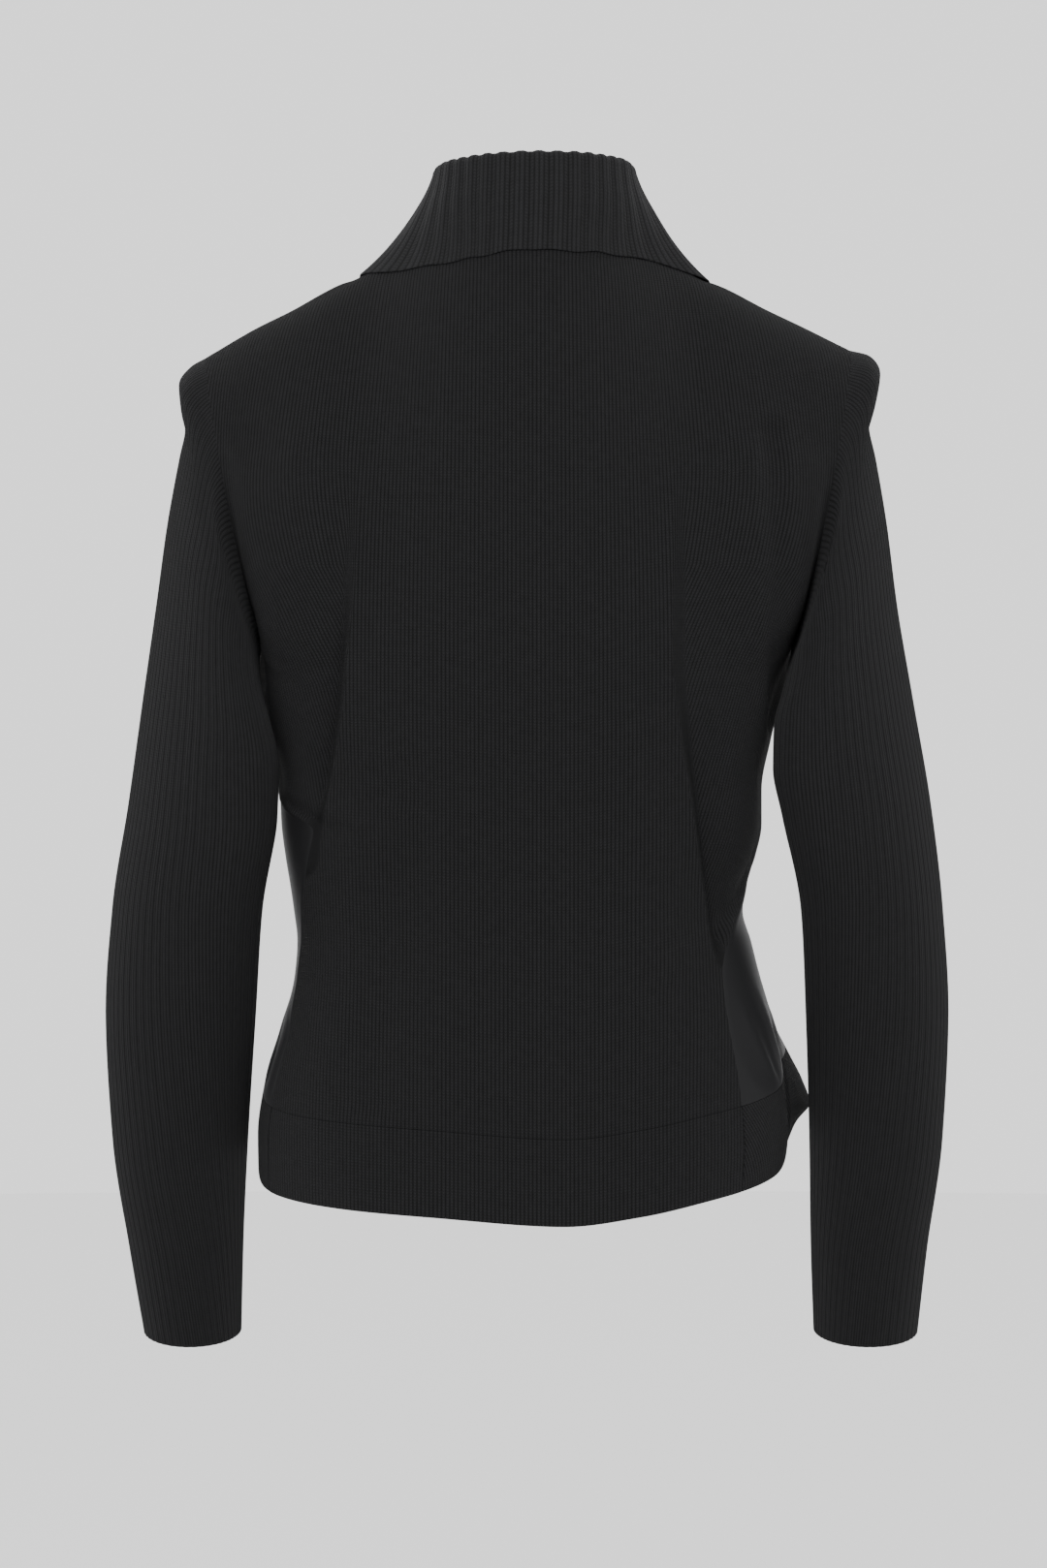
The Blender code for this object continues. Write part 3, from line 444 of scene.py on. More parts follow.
def linear(code):
    """A colour as its sRGB hex value, turned to the linear values that a shader takes."""
    parts = [int(code[i:i + 2], 16) / 255 for i in (1, 3, 5)]
    return (*[p / 12.92 if p <= 0.04045 else ((p + 0.055) / 1.055) ** 2.4 for p in parts], 1)


def add_node(tree, kind, settings=None, inputs=None):
    """Adds a node. An input is a plain value, or the socket of another node to link."""
    made = tree.nodes.new(kind)
    for field, value in (settings or {}).items():
        setattr(made, field, value)
    for key, value in (inputs or {}).items():
        if isinstance(value, bpy.types.NodeSocket):
            tree.links.new(value, made.inputs[key])
        else:
            made.inputs[key].default_value = value
    return made


def knit_cloth(name, wale, course, painted_groove_shade, crest, depth, fuzz, rib_wales=None):
    """Black yarn, worsted spun, knitted on a flat machine and steamed: rows of V-shaped stitches
    stand in upright wales, matt, with a short fuzz that catches light at the edges. The cloth
    coordinate is in metres of the knit, so wale and course are real sizes in millimetres. Its
    colour is darker down between the stitches than on their tops, which is painted shade. With
    rib_wales, the half of each rib that is sunk is darker as well, which is painted shade too."""
    material = bpy.data.materials.new(name)
    material.use_nodes = True
    tree = material.node_tree
    shader = tree.nodes["Principled BSDF"]
    place = add_node(tree, "ShaderNodeUVMap", {"uv_map": "cloth"})
    split = add_node(tree, "ShaderNodeSeparateXYZ", inputs={0: place.outputs[0]})
    across = add_node(tree, "ShaderNodeMath", {"operation": "MULTIPLY"},
                      {0: split.outputs["X"], 1: 1 / (wale * MM)})
    along = add_node(tree, "ShaderNodeMath", {"operation": "MULTIPLY"},
                     {0: split.outputs["Y"], 1: 1 / (course * MM)})
    in_wale = add_node(tree, "ShaderNodeMath", {"operation": "PINGPONG"},
                       {0: across.outputs[0], 1: 0.5})
    leg = add_node(tree, "ShaderNodeMath", {"operation": "MULTIPLY_ADD"},
                   {0: in_wale.outputs[0], 1: 1.1, 2: along.outputs[0]})
    turn = add_node(tree, "ShaderNodeMath", {"operation": "MULTIPLY"},
                    {0: leg.outputs[0], 1: 2 * math.pi})
    wave = add_node(tree, "ShaderNodeMath", {"operation": "SINE"}, {0: turn.outputs[0]})
    stitch = add_node(tree, "ShaderNodeMapRange", inputs={
        "Value": wave.outputs[0], "From Min": -1.0, "From Max": 1.0, "To Min": 0.55, "To Max": 1.0})
    chain = add_node(tree, "ShaderNodeMapRange", {"interpolation_type": "SMOOTHSTEP"}, {
        "Value": in_wale.outputs[0], "From Min": 0.0, "From Max": 0.34})
    height = add_node(tree, "ShaderNodeMath", {"operation": "MULTIPLY"},
                      {0: chain.outputs[0], 1: stitch.outputs[0]})
    where = add_node(tree, "ShaderNodeTexCoord")
    fibre = add_node(tree, "ShaderNodeTexNoise", inputs={
        "Vector": where.outputs["Object"], "Scale": 1400.0, "Detail": 3.0, "Roughness": 0.65})
    fuzzy = add_node(tree, "ShaderNodeMath", {"operation": "MULTIPLY_ADD"},
                     {0: fibre.outputs["Fac"], 1: 0.7, 2: height.outputs[0]})
    bump = add_node(tree, "ShaderNodeBump", inputs={
        "Strength": 1.0, "Distance": depth * MM, "Height": fuzzy.outputs[0]})
    mottle = add_node(tree, "ShaderNodeTexNoise", inputs={
        "Vector": where.outputs["Object"], "Scale": 210.0, "Detail": 4.0, "Roughness": 0.6})
    # Painted shade: the colour follows the stitch height, darker down between the stitches. The
    # mottle added to it is the yarn's own uneven tone
    painted_shade_and_mottle = add_node(tree, "ShaderNodeMath", {"operation": "MULTIPLY_ADD"},
                     {0: mottle.outputs["Fac"], 1: 0.5, 2: height.outputs[0]})
    shown = painted_shade_and_mottle.outputs[0]
    # Painted shade: the sunk half of each rib is given a darker colour
    if rib_wales:
        shifted = add_node(tree, "ShaderNodeMath", {"operation": "SUBTRACT"},
                           {0: across.outputs[0], 1: rib_wales / 4})
        in_rib = add_node(tree, "ShaderNodeMath", {"operation": "PINGPONG"},
                          {0: shifted.outputs[0], 1: rib_wales / 2})
        painted_rib_shade = add_node(tree, "ShaderNodeMapRange", {"interpolation_type": "SMOOTHSTEP"}, {
            "Value": in_rib.outputs[0], "From Min": 0.6, "From Max": 1.5, "To Min": 0.06,
            "To Max": -0.12})
        shown = add_node(tree, "ShaderNodeMath", {"operation": "ADD"},
                         {0: shown, 1: painted_rib_shade.outputs[0]}).outputs[0]
    level = add_node(tree, "ShaderNodeMapRange", inputs={
        "Value": shown, "From Min": 0.15, "From Max": 1.3})
    colour = add_node(tree, "ShaderNodeMix", {"data_type": "RGBA"}, {
        "Factor": level.outputs[0], "A": linear(painted_groove_shade), "B": linear(crest)})
    tree.links.new(colour.outputs["Result"], shader.inputs["Base Color"])
    tree.links.new(bump.outputs[0], shader.inputs["Normal"])
    shader.inputs["Roughness"].default_value = 0.95
    shader.inputs["Specular IOR Level"].default_value = 0.08
    shader.inputs["Sheen Weight"].default_value = fuzz
    shader.inputs["Sheen Roughness"].default_value = 0.5
    shader.inputs["Sheen Tint"].default_value = linear("#8a8a8c")
    return material


jersey = knit_cloth("black_wool_jersey_knit", wale=2.4, course=1.7, painted_groove_shade="#050505",
                    crest="#171718", depth=0.65, fuzz=0.05)


def back_turns(side, places, level):
    """Turns of half the back's columns at a level, the centre first."""
    crease = through(LEFT_CREASE if side > 0 else RIGHT_CREASE, "z", "turn", level)
    seam = through(LEFT_SEAM if side > 0 else RIGHT_SEAM, "z", "turn", level)
    table = [[row.place, row.in_crease, row.past_crease] for row in BACK_COLUMNS]
    columns, inside, outside = np.array(table, float).T
    share = crease * np.interp(places, columns, inside)
    return side * (share + (seam - crease) * np.interp(places, columns, outside))


CREASE_DEPTH = 8.5
CREASE_EDGE = 3         # half the width of its steep edge
CREASE_RISE = 20        # how slowly the cloth comes out again past it
LIP_HEIGHT = 0.3
LIP_PLACE = -8
LIP_REACH = 6


def crease_profile(offset):
    """How far the cloth goes in beside a crease, by the distance from its line: a hardly raised
    lip towards the centre, a steep edge, and a long rise outside it."""
    past_edge = np.clip(offset - CREASE_EDGE, 0, None)
    trough = fade(offset, -CREASE_EDGE, CREASE_EDGE) * np.exp(-past_edge / CREASE_RISE)
    lip = np.exp(-((offset - LIP_PLACE) / LIP_REACH) ** 2)
    return CREASE_DEPTH * trough - LIP_HEIGHT * lip


half_places = np.linspace(0, len(BACK_COLUMNS) - 1, BACK_STEPS * (len(BACK_COLUMNS) - 1) + 1)
half_tops = np.interp(half_places, [row.place for row in BACK_COLUMNS],
                      [row.top for row in BACK_COLUMNS])
back_tops = np.concatenate((-half_tops[:0:-1], half_tops))
back_points = panel_rows(
    lambda level: np.concatenate((back_turns(-1, half_places, level)[:0:-1],
                                  back_turns(1, half_places, level))),
    back_tops, BACK_YOKE)
join_yoke(back_points, back_tops)
centre = len(half_places) - 1
normals = facing(back_points)
arc = lengths(back_points, 1)
arc -= arc[:, centre:centre + 1]
rises = np.concatenate((np.zeros(len(BODY_LEVELS)), YOKE_RISES))
knit_across, knit_along = arc.copy(), lengths(back_points, 0)

# Beside the sleeves the cloth stands fuller than the plain section, most of all at the armhole.
# The fullness comes in over the levels, and goes out over the rises of the yoke and over the
# distances from the side. It starts a little way in from the seam.
FULLNESS = 12.0
FULL_LEVELS = (-410, -300)
FULL_RISES = (0.3, 0.7)
FULL_REACH = (45, 112)
ARMHOLE_FULLNESS = 8.0
ARMHOLE_FULL_LEVELS = (-290, -239)
ARMHOLE_FULL_RISES = (0.25, 0.6)
ARMHOLE_FULL_REACH = (28, 80)
SIDE_START = 36
ARMHOLE_START = 11
from_side = np.where(arc > 0, arc[:, -1:] - arc, arc - arc[:, :1])
levels = np.concatenate((BODY_LEVELS, np.full(len(YOKE_RISES), UNDERARM_LEVEL)))
high = fade(levels, *FULL_LEVELS) * (1 - fade(rises, *FULL_RISES))
higher = fade(levels, *ARMHOLE_FULL_LEVELS) * (1 - fade(rises, *ARMHOLE_FULL_RISES))
start = SIDE_START - (SIDE_START - ARMHOLE_START) * fade(rises, 0, 0.12)
full = FULLNESS * high[:, None] * (1 - fade(from_side, *FULL_REACH))
full += ARMHOLE_FULLNESS * higher[:, None] * (1 - fade(from_side, *ARMHOLE_FULL_REACH))
back_points[..., 1] += full * fade(from_side / start[:, None], 0, 1)

# Beside the armhole it reaches out to the sleeve, and the seam lies further back. Both hold
# from the underarm up to about the middle of the armhole.
REACH_OUT = 3.0
REACH_FULL_LOW = 60     # distance from the side where it reaches out fully, at the underarm
REACH_FULL_HIGH = 20    # and higher up
REACH_PAST = (8, 60)    # distances past that place over which it goes back
SEAM_BACK = 7.0
SEAM_BACK_REACH = 36
BESIDE_STARTS = (0, 0.1)
BESIDE_ENDS = (0.3, 0.6)
corner = (REACH_FULL_LOW - (REACH_FULL_LOW - REACH_FULL_HIGH) * fade(rises, 0, 0.2))[:, None]
beside = (fade(rises, *BESIDE_STARTS) * (1 - fade(rises, *BESIDE_ENDS)))[:, None]
out = (REACH_OUT * beside * fade(from_side / corner, 0, 1)
       * (1 - fade(from_side - corner, *REACH_PAST)))

# Below the armhole the side of the body keeps clear of the sleeve
HOLLOW_LEFT = 2.5
HOLLOW_RIGHT = 1.2
HOLLOW_STARTS = (-335, -305)
HOLLOW_ENDS = (-252, -239)
HOLLOW_NEAR = (0, 15)           # distances from the side over which it comes in
HOLLOW_FAR = (70, 110)          # and over which it goes out
hollow = fade(levels, *HOLLOW_STARTS) * (1 - fade(levels, *HOLLOW_ENDS))
out -= (np.where(arc > 0, HOLLOW_LEFT, HOLLOW_RIGHT) * hollow[:, None]
        * fade(from_side, *HOLLOW_NEAR) * (1 - fade(from_side, *HOLLOW_FAR)))
back_points[..., 0] += np.where(arc > 0, out, -out)
back_points[..., 1] += SEAM_BACK * beside * (1 - fade(from_side, 0, SEAM_BACK_REACH))

WALE_SLANT = 0.3        # past a crease the wales run down towards it
for side, table in ((1, LEFT_LINE), (-1, RIGHT_LINE)):
    heights = back_points[..., 2]
    offset = side * back_points[..., 0] - through(table, "z", "x", heights)
    strength = through(table, "z", "strength", heights) * (side * arc > 0)
    drop = strength * crease_profile(offset) * fade(from_side, 0, 14)
    back_points -= normals * drop[..., None]
    # How far down the crease a point lies, with a soft start at its top
    below = 70 * fade(heights, -130, -270) + np.clip(-200 - heights, 0, None)
    knit_across += side * WALE_SLANT * below * fade(offset, -4, 4) * (side * arc > 0)
depth = fold_depth(back_points, 1) * clear_of_seams(back_points)
back_points -= facing(back_points) * depth[..., None]
back = cut_cloth("back_panel", back_points, np.stack((knit_across, knit_along), axis=-1),
                 JERSEY_WALL, jersey)
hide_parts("back")


# ---- Fronts ---------------------------------------------------------------------------------
# Two panels of a smooth black cloth with a satin face, from the side seams to the plain edges
# at the centre front. They are gathered into the band, so they blouse a little above it.

SMOOTH_WALL = 1.4
FRONT_EDGE = 0.055      # the fronts end this part of a quarter turn before the centre
FRONT_STEPS = 7
GATHER_HEIGHT = 80.0
PLEAT_DEPTH = 0.8
# The cloth rolls a little over the allowance of the side seam
SEAM_ROLL = 0.9
SEAM_ROLL_PLACE = 1.8   # distance from the seam
SEAM_ROLL_REACH = 1.2
FRONT_TOPS = [1.0, 0.90, 0.80, 0.70, 0.63, 0.57, 0.50, 0.41, 0.34, 0.28, 0.22, 0.17, 0.13, 0.09,
              FRONT_EDGE]
FRONT_YOKE = [
    YokeColumn(0.0, 0, -3, 66, 0, -24, -48),
    YokeColumn(0.2, 1, -4, 68, 14, -30, -43),
    YokeColumn(0.41, 0, -6, 84, 34, -32, -34),
    YokeColumn(0.6, 0, -8, 80, 12, -52, -18),
    YokeColumn(0.8, -2, -24, 50, -2, -64, -10),
    YokeColumn(1.0, -8, -72, 0, -12, -74, -6),
]

satin = bpy.data.materials.new("black_satin_weave")
satin.use_nodes = True
tree = satin.node_tree
shader = tree.nodes["Principled BSDF"]
place = add_node(tree, "ShaderNodeUVMap", {"uv_map": "cloth"})
# Filament warp threads lie side by side and give long streaks of light
threads = add_node(tree, "ShaderNodeMapping", inputs={
    "Vector": place.outputs[0], "Scale": (1500.0, 22.0, 1.0)})
streaks = add_node(tree, "ShaderNodeTexNoise", inputs={
    "Vector": threads.outputs[0], "Scale": 1.0, "Detail": 3.0, "Roughness": 0.6})
bump = add_node(tree, "ShaderNodeBump", inputs={
    "Strength": 0.5, "Distance": 0.12 * MM, "Height": streaks.outputs["Fac"]})
tree.links.new(bump.outputs[0], shader.inputs["Normal"])
shader.inputs["Base Color"].default_value = linear("#0f0f10")
shader.inputs["Roughness"].default_value = 0.56
shader.inputs["Specular IOR Level"].default_value = 0.13
shader.inputs["Sheen Weight"].default_value = 0.1
shader.inputs["Sheen Roughness"].default_value = 0.35
shader.inputs["Sheen Tint"].default_value = linear("#9a9a9c")

FRONT_SPANS = len(FRONT_TOPS) - 1
front_places = np.linspace(0, 1, FRONT_SPANS * FRONT_STEPS + 1)


def front_turns(side, level):
    """Turns of a front's columns at a level, in the order of growing turns. Where the side seam
    runs towards the back, the columns next to it go along."""
    shift = through(LEFT_SEAM if side > 0 else RIGHT_SEAM, "z", "turn", level) - 1
    turns = 1 + (1 - FRONT_EDGE) * front_places + shift * (1 - front_places) ** 3
    return turns if side > 0 else -turns[::-1]


front_sheets = {}
for side, word in ((1, "left"), (-1, "right")):
    tops = 2 - np.interp(front_places * FRONT_SPANS, np.arange(FRONT_SPANS + 1), FRONT_TOPS)
    tops = tops if side > 0 else -tops[::-1]
    points = panel_rows(lambda level: front_turns(side, level), tops, FRONT_YOKE)
    join_yoke(points, tops)
    across, along = lengths(points, 1), lengths(points, 0)
    normals = facing(points)
    # Uneven pleats, about 26 and 14 mm apart, where the cloth is gathered into the band
    pleats = np.sin(across / 4.1 + 1.3 * np.sin(across / 23)) + 0.5 * np.sin(across / 2.3 + 1)
    amount = (1 - fade(along, 0, GATHER_HEIGHT)) * fade(along, 0, 6)
    depth = PLEAT_DEPTH * amount * (pleats + 1) + fold_depth(points, -1) * (points[..., 1] < 0)
    from_seam = across if side > 0 else across[:, -1:] - across
    roll = (SEAM_ROLL * np.exp(-((from_seam - SEAM_ROLL_PLACE) / SEAM_ROLL_REACH) ** 2)
            * fade(along, 0, FOLD_END))
    points -= normals * (depth * clear_of_seams(points) - roll)[..., None]
    front = cut_cloth("front_panel_" + word, points, np.stack((across, along), axis=-1),
                      SMOOTH_WALL, satin)
    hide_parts("front_" + word)
    front_sheets[word] = points


# ---- Hem band -------------------------------------------------------------------------------
# A deep band of jersey, doubled over at the lower edge and sewn to the body in three lengths: one
# along the back and one along each front.

BAND_WALL = 3.0
BAND_STEPS = 22
band_rises = np.linspace(0, BAND_DEPTH, BAND_STEPS + 1)


def band_points(turns):
    heights = hem_height(turns)[None, :] + band_rises[:, None]
    return body_point(np.broadcast_to(turns, heights.shape), heights)


band_turns = {
    "back": np.concatenate((back_turns(-1, half_places, HEM_LEVEL)[:0:-1],
                            back_turns(1, half_places, HEM_LEVEL))),
    "left": front_turns(1, HEM_LEVEL),
    "right": front_turns(-1, HEM_LEVEL),
}
for word, turns in band_turns.items():
    points = band_points(turns)
    across = lengths(points, 1)
    if word == "back":
        across -= across[:, centre:centre + 1]
    cloth = np.stack((across, lengths(points, 0)), axis=-1)
    band = cut_cloth("hem_band_" + word, points, cloth, BAND_WALL, jersey)
    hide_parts("band_" + word)


# ---- Sleeves --------------------------------------------------------------------------------
# Long sleeves in a 2x1 rib, each one piece with a seam under the arm. The head is eased into the
# armhole and rolls over it.

SLEEVE_WALL = 2.2
SLEEVE_RIB_PITCH = 5.4
SLEEVE_RIBS = 48
SLEEVE_WALE = 1.8
SLEEVE_RELIEF = 0.24
RELIEF_ROWS = 30        # the ribs' relief grows over this many rows from the armhole
RELIEF_LATE = 16        # and starts this many rows later, away from the top of the shoulder
SLEEVE_PROFILE = [-1, -0.1, 1, 0.75, 1, -0.1]
SLEEVE_ROWS = 132
HEAD_ROWS = 60          # rows lie closer together over the first rings, in the rolled head
CLOSE_RINGS = 6
HEAD_PASSES = 110       # how often the head is evened out
HEAD_RINGS = 5          # the first rings keep something of the armhole's shape
HEAD_ROLL = (0.10, 0.32)        # shares of half an armhole over which the rolled head fades
HEAD_UNDER = (0.36, 0.62)       # and over which the sleeve bends round the side of the body
RING_STEPS = 60

# The outer line, the inner line, the half depths behind and in front, where the middle and the
# inner line lie from front to back, and how far a ring dips at the back
SleeveRing = namedtuple("SleeveRing", "place out_left z_left out_right z_right in_left in_right"
                        " in_z back front middle in_y dip")
SLEEVE = [
    SleeveRing(0, 192, -71, 192, -67, 158, 158, -239, 50, 54, 0, 0, 0),
    SleeveRing(1, 202, -77, 203.5, -70, 159.2, 157.8, -243, 50, 55, 0, 18, 0),
    SleeveRing(2, 208.5, -87, 210, -80, 159.3, 156.9, -248, 49, 55, 0, 28, 0),
    SleeveRing(3, 207.5, -100, 207.5, -96, 159.4, 155.6, -253, 48, 54, 0, 36, 0),
    SleeveRing(4, 205, -114, 203.5, -112, 158.8, 153.6, -259, 47, 53, 0, 42, 0),
    SleeveRing(5, 208.5, -132, 207.5, -132, 158, 151.2, -266, 46, 52, 0, 47, 0),
    SleeveRing(6, 215.5, -170, 214, -170, 156, 148.5, -276, 46, 51, 0, 50.5, 2),
    SleeveRing(7, 222.5, -220, 220.5, -220, 151.5, 144.5, -292, 45.5, 50, -1, 54, 4),
    SleeveRing(8, 230.5, -275, 230, -275, 147, 144, -317, 45, 49, -3, 51, 5),
    SleeveRing(9, 239.5, -338, 241, -338, 148.5, 150.5, -348, 45.5, 48, -6, 39, 6),
    SleeveRing(10, 249.5, -400, 248.5, -400, 158.5, 162.5, -402, 46, 46, -11, 16, 6),
    SleeveRing(11, 254, -465, 252.5, -465, 163.5, 166.5, -465, 45, 43, -17, -5, 6),
    SleeveRing(12, 250.5, -540, 249.5, -540, 169, 169.5, -540, 41, 39, -25, -21, 6),
    SleeveRing(13, 241, -605, 241, -605, 172.5, 171, -605, 37, 35, -32, -32, 6),
    SleeveRing(14, 232.5, -657, 235.5, -657, 174, 173, -657, 35, 33, -38, -38, 7),
]

sleeve_rib = knit_cloth("black_wool_rib_knit_2x1", wale=SLEEVE_WALE, course=1.5,
                        painted_groove_shade="#060606", crest="#161617", depth=0.4, fuzz=0.07)


def along_path(path, shares):
    """Points of a path at shares of its length."""
    length = lengths(path, 0)
    places = np.asarray(shares) * length[-1]
    return np.stack([np.interp(places, length, path[:, axis]) for axis in range(3)], axis=-1)


def ring_path(place, side, face):
    """Half a sleeve ring at even steps of its length: its outer line first, its inner line
    last, behind (face 1) or in front (face -1)."""
    field = {name: float(through(SLEEVE, "place", name, place)) for name in SleeveRing._fields}
    word = "left" if side > 0 else "right"
    outer = np.array([side * field["out_" + word], field["middle"], field["z_" + word]])
    inner = np.array([side * field["in_" + word], field["in_y"], field["in_z"]])
    depth = field["back"] if face > 0 else field["front"]
    angle = np.linspace(0, math.pi, 181)[:, None]
    swing = np.array([0, face * depth, -face * field["dip"]])
    dense = (outer + inner) / 2 + (outer - inner) / 2 * np.cos(angle) + swing * np.sin(angle)
    return along_path(dense, np.linspace(0, 1, RING_STEPS + 1))


def head_path(place, side, face, armhole):
    """Half a ring of the sleeve, which starts as the armhole. It rolls over at the shoulder, and
    further down it goes straight from the armhole into the sleeve."""
    held = along_path(armhole, np.linspace(0, 1, RING_STEPS + 1))
    path = ring_path(place, side, face)
    path = path + (held - ring_path(0, side, face)) * (1 - fade(place, 0, HEAD_RINGS))
    if place < HEAD_RINGS:
        straight = held + (ring_path(HEAD_RINGS, side, face) - held) * place / HEAD_RINGS
        share = np.linspace(0, 1, RING_STEPS + 1)
        plain = fade(share, *HEAD_ROLL) * (1 - fade(share, *HEAD_UNDER))
        path += (straight - path) * plain[:, None]
    return path


def rib_shares(length):
    """Keeps the ribs' pitch on the outer face, and takes the rest up near the underarm seam."""
    part = np.linspace(0, 1, SLEEVE_RIBS * 3 + 1)
    start = min(max(SLEEVE_RIB_PITCH * SLEEVE_RIBS / 2 / length, 0.72), 1.36)
    return start * part + (1 - start) * part ** 3


underarm = len(BODY_LEVELS) - 1
places = np.concatenate((
    np.linspace(0, CLOSE_RINGS, HEAD_ROWS + 1)[:-1],
    np.linspace(CLOSE_RINGS, len(SLEEVE) - 1, SLEEVE_ROWS - HEAD_ROWS)))
for side, word in ((1, "left"), (-1, "right")):
    armhole = {1: back_points[underarm:, -1 if side > 0 else 0][::-1],
               -1: front_sheets[word][underarm:, 0 if side > 0 else -1][::-1]}
    rows = []
    for place in places:
        halves = {}
        for face in (1, -1):
            path = head_path(place, side, face, armhole[face])
            halves[face] = along_path(path, rib_shares(lengths(path, 0)[-1]))
        ring = np.concatenate((halves[1], halves[-1][-2:0:-1]))
        # Columns run to the wearer's left round the back, as on the body
        ring = np.roll(ring[::-1], 1, axis=0) if side > 0 else ring
        rows.append(np.concatenate((ring, ring[:1])))
    points = np.array(rows)[::-1]
    columns = points.shape[1]
    # Evens out the bend where the head comes round from the armhole
    past_head = fade(places, 0, 0.8) * (1 - fade(places, 3.5, 6))
    below_top = points[..., 2].max(axis=1, keepdims=True) - points[..., 2]
    weight = past_head[::-1, None] * fade(below_top, 12, 45) * (1 - fade(below_top, 110, 150))
    for _ in range(HEAD_PASSES):
        even = (points[:-2] + 2 * points[1:-1] + points[2:]) / 4
        points[1:-1] += weight[1:-1, :, None] * (even - points[1:-1])
        ring = points[:, :-1]
        even = (np.roll(ring, 1, axis=1) + 2 * ring + np.roll(ring, -1, axis=1)) / 4
        ring = ring + weight[:, :-1, None] * (even - ring)
        points = np.concatenate((ring, ring[:, :1]), axis=1)
    normals = facing(points, closed=True)
    profile = np.resize(SLEEVE_PROFILE, columns - 1)
    profile = np.concatenate((profile, profile[:1]))
    from_seam = np.arange(SLEEVE_ROWS)[::-1, None] - RELIEF_LATE * fade(below_top, 60, 110)
    relief = SLEEVE_RELIEF * fade(from_seam, 0, RELIEF_ROWS) * profile
    points = points + normals * relief[..., None]
    across = np.arange(columns) * SLEEVE_RIB_PITCH / len(SLEEVE_PROFILE) + SLEEVE_WALE / 2
    across = np.broadcast_to(across, points.shape[:2])
    cloth = np.stack((across, lengths(points, 0)), axis=-1)
    sleeve = cut_cloth("rib_sleeve_" + word, points, cloth, SLEEVE_WALL, sleeve_rib, closed=True)
    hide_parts("sleeve_" + word)


# ---- Collar ---------------------------------------------------------------------------------
# One wide piece of 2x2 rib sewn to the neckline. It stands up, rolls over and falls to the
# shoulders, where its free edge comes to rest.

COLLAR_WALL = 2.0
COLLAR_EDGE_WALL = 1.0  # thinner at the bound-off edge
COLLAR_RIBS = 40
COLLAR_RELIEF = 0.4
COLLAR_PROFILE = [0, 1, 0.85, 1, 0, -1, -0.9, -1]
COLLAR_WALE = 2.8
COLLAR_REST = 0.15      # how close the edge is brought to the body, before it is evened out
ROLL_RADIUS = 4.6
ROLL_MIDDLE = -3.6      # the fold sits this far to the right
COLLAR_HANG = 0.19      # the fall first drops, and then spreads
COLLAR_HANG_DROP = 16.5
STAND_FOOT = 3.0        # the stand is sewn on inside the neckline, this far down
STAND_ROWS = 12
ROLL_ROWS = 12
FALL_ROWS = 52
EDGE_ROW = 40           # from this row on the fall nears its free edge
SETTLING = (40, 12)     # how often the edge's way to the body is evened out, each time it settles

# Where its top fold and its outer edge lie
CollarPoint = namedtuple("CollarPoint", "turn roll_x roll_y roll_z edge_x edge_y edge_z")
COLLAR = [
    CollarPoint(-2.0, -3.6, -72, -4, -2.5, -79, -95),
    CollarPoint(-1.75, -28.6, -65, 8, -57, -69.5, -85),
    CollarPoint(-1.5, -46.6, -50, 24, -92, -48, -62),
    CollarPoint(-1.25, -57.1, -28, 34, -109, -26.5, -38),
    CollarPoint(-1.0, -59.8, -2, 38.4, -110, 0, -22.4),
    CollarPoint(-0.75, -55.6, 22, 40, -76, 24, -12.6),
    CollarPoint(-0.5, -44.6, 39, 40.5, -52, 46, -12.4),
    CollarPoint(-0.25, -27.6, 51, 41, -30, 56.5, -11.7),
    CollarPoint(0.0, -3.6, 55, 41, -2.5, 61, -11),
    CollarPoint(0.25, 20.4, 51, 40.2, 25, 59, -14),
    CollarPoint(0.5, 37.4, 39, 39.2, 46, 52, -15.9),
    CollarPoint(0.75, 48.2, 22, 38.4, 71, 36, -17.9),
    CollarPoint(1.0, 52.4, -2, 37.6, 102, 0, -19.6),
    CollarPoint(1.25, 49.9, -28, 34, 103, -25, -34),
    CollarPoint(1.5, 39.4, -50, 24, 88, -49.5, -60),
    CollarPoint(1.75, 21.4, -65, 8, 53, -69.5, -84),
    CollarPoint(2.0, -3.6, -72, -4, -2.5, -79, -95),
]

# The collar's rib has painted shade in the sunk half of each rib, besides that between its stitches
collar_rib = knit_cloth("black_wool_rib_knit_2x2", wale=COLLAR_WALE, course=2.0,
                        painted_groove_shade="#0a0a0a", crest="#19191a", depth=0.35, fuzz=0.10, rib_wales=4)


def collar_line(turns, field):
    return np.stack([through(COLLAR, "turn", field + "_" + axis, turns) for axis in "xyz"], axis=-1)


end = 2 - FRONT_EDGE
dense = np.linspace(-end, end, 801)
seam_length = lengths(neck_point(dense), 0)
collar_places = np.linspace(0, seam_length[-1], len(COLLAR_PROFILE) * COLLAR_RIBS + 1)
collar_turns = np.interp(collar_places, seam_length, dense)
seam = neck_point(collar_turns)
roll = collar_line(collar_turns, "roll")
edge = collar_line(collar_turns, "edge")
up = np.array([0, 0, 1.0])
out = unit(np.stack((roll[:, 0] - ROLL_MIDDLE, roll[:, 1] + 5, np.zeros(len(roll))), axis=-1))
foot = seam - out * (COLLAR_WALL + 0.2) - up * STAND_FOOT
inner_fold, outer_fold = roll - out * ROLL_RADIUS, roll + out * ROLL_RADIUS
rows = []
for share in np.linspace(0, 1, STAND_ROWS + 1)[:-1]:
    rows.append(foot + (inner_fold - foot) * share - out * 2 * share * (1 - share))
for angle in np.linspace(0, math.pi, ROLL_ROWS + 1)[:-1]:
    rows.append(roll + ROLL_RADIUS * (up * math.sin(angle) - out * math.cos(angle)))
hang = outer_fold + (edge - outer_fold) * COLLAR_HANG - up * COLLAR_HANG_DROP
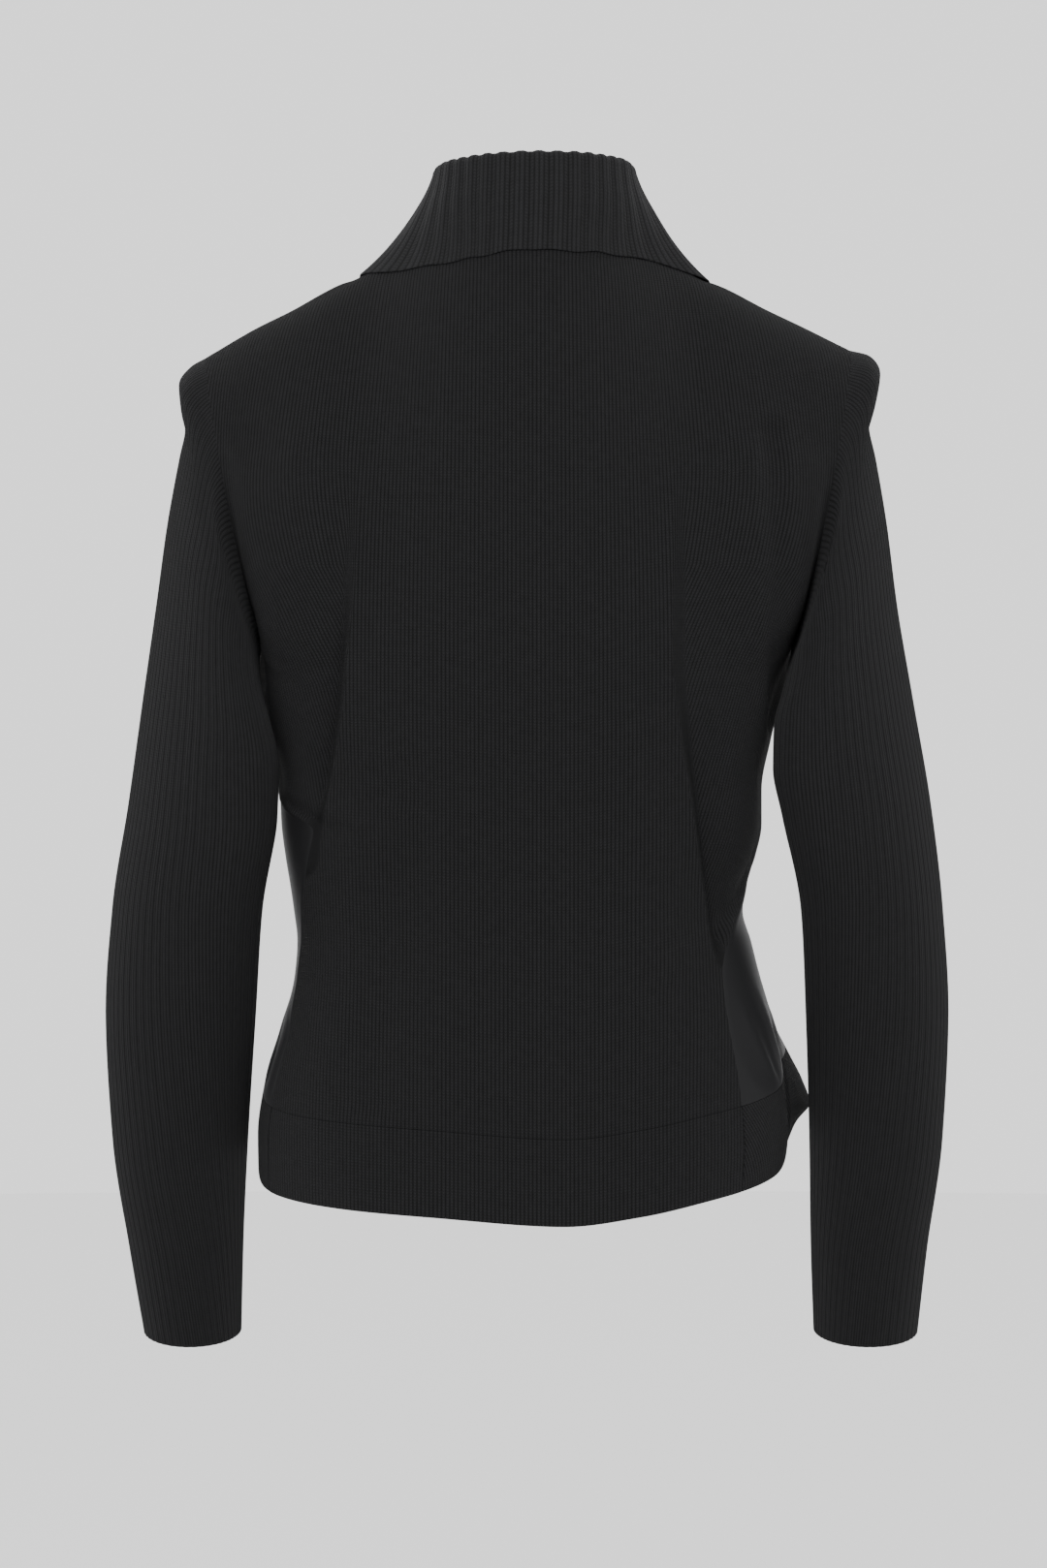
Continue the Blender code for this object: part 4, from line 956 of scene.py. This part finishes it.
for share in np.linspace(0, 1, FALL_ROWS + 1):
    a, b = 1 - share, share
    rows.append(a * a * outer_fold + 2 * a * b * hang + b * b * edge)
points = np.array(rows)
# The rows run up inside and down outside, so the outer face is on the other side
points = points[:, ::-1]
normals = facing(points)
profile = np.resize(COLLAR_PROFILE, points.shape[1])
grown = fade(np.arange(len(points)), 0, 8)
# The free edge waves a little and comes to rest on the body all round
wave = 0.5 * np.sin(collar_places / 4.3) + 0.5 * np.sin(collar_places / 9.7 + 1)
near_edge = fade(np.arange(len(points)), EDGE_ROW, len(points) - 1)[:, None]
relief = COLLAR_RELIEF * grown[:, None] * (1 - 0.7 * near_edge) * profile
points = points + normals * relief[..., None]
sheets = (back_points, front_sheets["left"], front_sheets["right"])
bodies = np.concatenate([sheet[underarm:].reshape(-1, 3) for sheet in sheets])
outward = np.concatenate([facing(sheet)[underarm:].reshape(-1, 3) for sheet in sheets])
points -= near_edge[..., None] * wave[:, None] * up
clearance = COLLAR_EDGE_WALL + 0.3 * COLLAR_RELIEF + COLLAR_REST
for times in SETTLING:
    settle = []
    for point in points[-1]:
        nearest = int(np.argmin(np.sum((bodies - point) ** 2, axis=1)))
        height = float((point - bodies[nearest]) @ outward[nearest])
        settle.append(outward[nearest] * (height - clearance))
    settle = np.array(settle)
    for _ in range(times):
        settle[1:-1] = (settle[:-2] + 2 * settle[1:-1] + settle[2:]) / 4
    points -= near_edge[..., None] * settle
wall_shares = np.broadcast_to(1 - near_edge * (1 - COLLAR_EDGE_WALL / COLLAR_WALL),
                              points.shape[:2])
across = np.broadcast_to(np.arange(points.shape[1]) * COLLAR_WALE / 2, points.shape[:2])
collar = cut_cloth("rib_collar", points, np.stack((across, lengths(points, 0)), axis=-1),
                   COLLAR_WALL, collar_rib, wall_shares=wall_shares)
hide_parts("collar")


# ---- Studio ---------------------------------------------------------------------------------
# A plain pale floor and soft light from two large panels, with a camera where the photograph
# was taken from.

FLOOR_LEVEL = -1.3
mesh = bmesh.new()
bmesh.ops.create_circle(mesh, cap_ends=True, radius=9.0, segments=96)
floor_data = bpy.data.meshes.new("floor")
bmesh.ops.translate(mesh, verts=mesh.verts, vec=(0, 0, FLOOR_LEVEL))
mesh.to_mesh(floor_data)
mesh.free()
floor = bpy.data.objects.new("floor", floor_data)
bpy.context.scene.collection.objects.link(floor)
paint = bpy.data.materials.new("pale_matt_paint")
paint.use_nodes = True
paint.node_tree.nodes["Principled BSDF"].inputs["Base Color"].default_value = linear("#f4f4f4")
paint.node_tree.nodes["Principled BSDF"].inputs["Roughness"].default_value = 0.9
floor_data.materials.append(paint)

world = bpy.data.worlds.new("white studio")
bpy.context.scene.world = world
world.use_nodes = True
world.node_tree.nodes["Background"].inputs["Color"].default_value = (1, 1, 1, 1)
world.node_tree.nodes["Background"].inputs["Strength"].default_value = 1.5


def softbox(name, place, aim, size, power):
    """A square panel of light that faces a point."""
    lamp = bpy.data.lights.new(name, "AREA")
    lamp.shape = "SQUARE"
    lamp.size = size
    lamp.energy = power
    thing = bpy.data.objects.new(name, lamp)
    thing.location = place
    direction = np.array(aim) - np.array(place)
    yaw = math.atan2(direction[1], direction[0])
    pitch = math.atan2(direction[2], math.hypot(direction[0], direction[1]))
    thing.rotation_euler = (math.pi / 2 + pitch, 0, yaw - math.pi / 2)
    bpy.context.scene.collection.objects.link(thing)


softbox("key", place=(-1.0, 2.1, 1.2), aim=(0, 0, -0.15), size=1.5, power=16)
softbox("front", place=(0.3, 3.1, 1.2), aim=(0, 0, -0.25), size=1.0, power=145)

# The camera stands 3 m behind the jacket, level with its middle. The frame's 1618 rows are
# 0.58 mm each at the jacket.
CAMERA_DISTANCE = 3.0
FRAME_HEIGHT = 1618 * 0.58 * MM
SENSOR_HEIGHT = 24.0
camera_data = bpy.data.cameras.new("camera")
camera_data.sensor_fit = "VERTICAL"
camera_data.sensor_height = SENSOR_HEIGHT
camera_data.lens = SENSOR_HEIGHT * CAMERA_DISTANCE / FRAME_HEIGHT
camera = bpy.data.objects.new("camera", camera_data)
camera.location = (0.0029, CAMERA_DISTANCE, -0.3265)
camera.rotation_euler = (math.pi / 2, 0, math.pi)
bpy.context.scene.collection.objects.link(camera)
bpy.context.scene.camera = camera
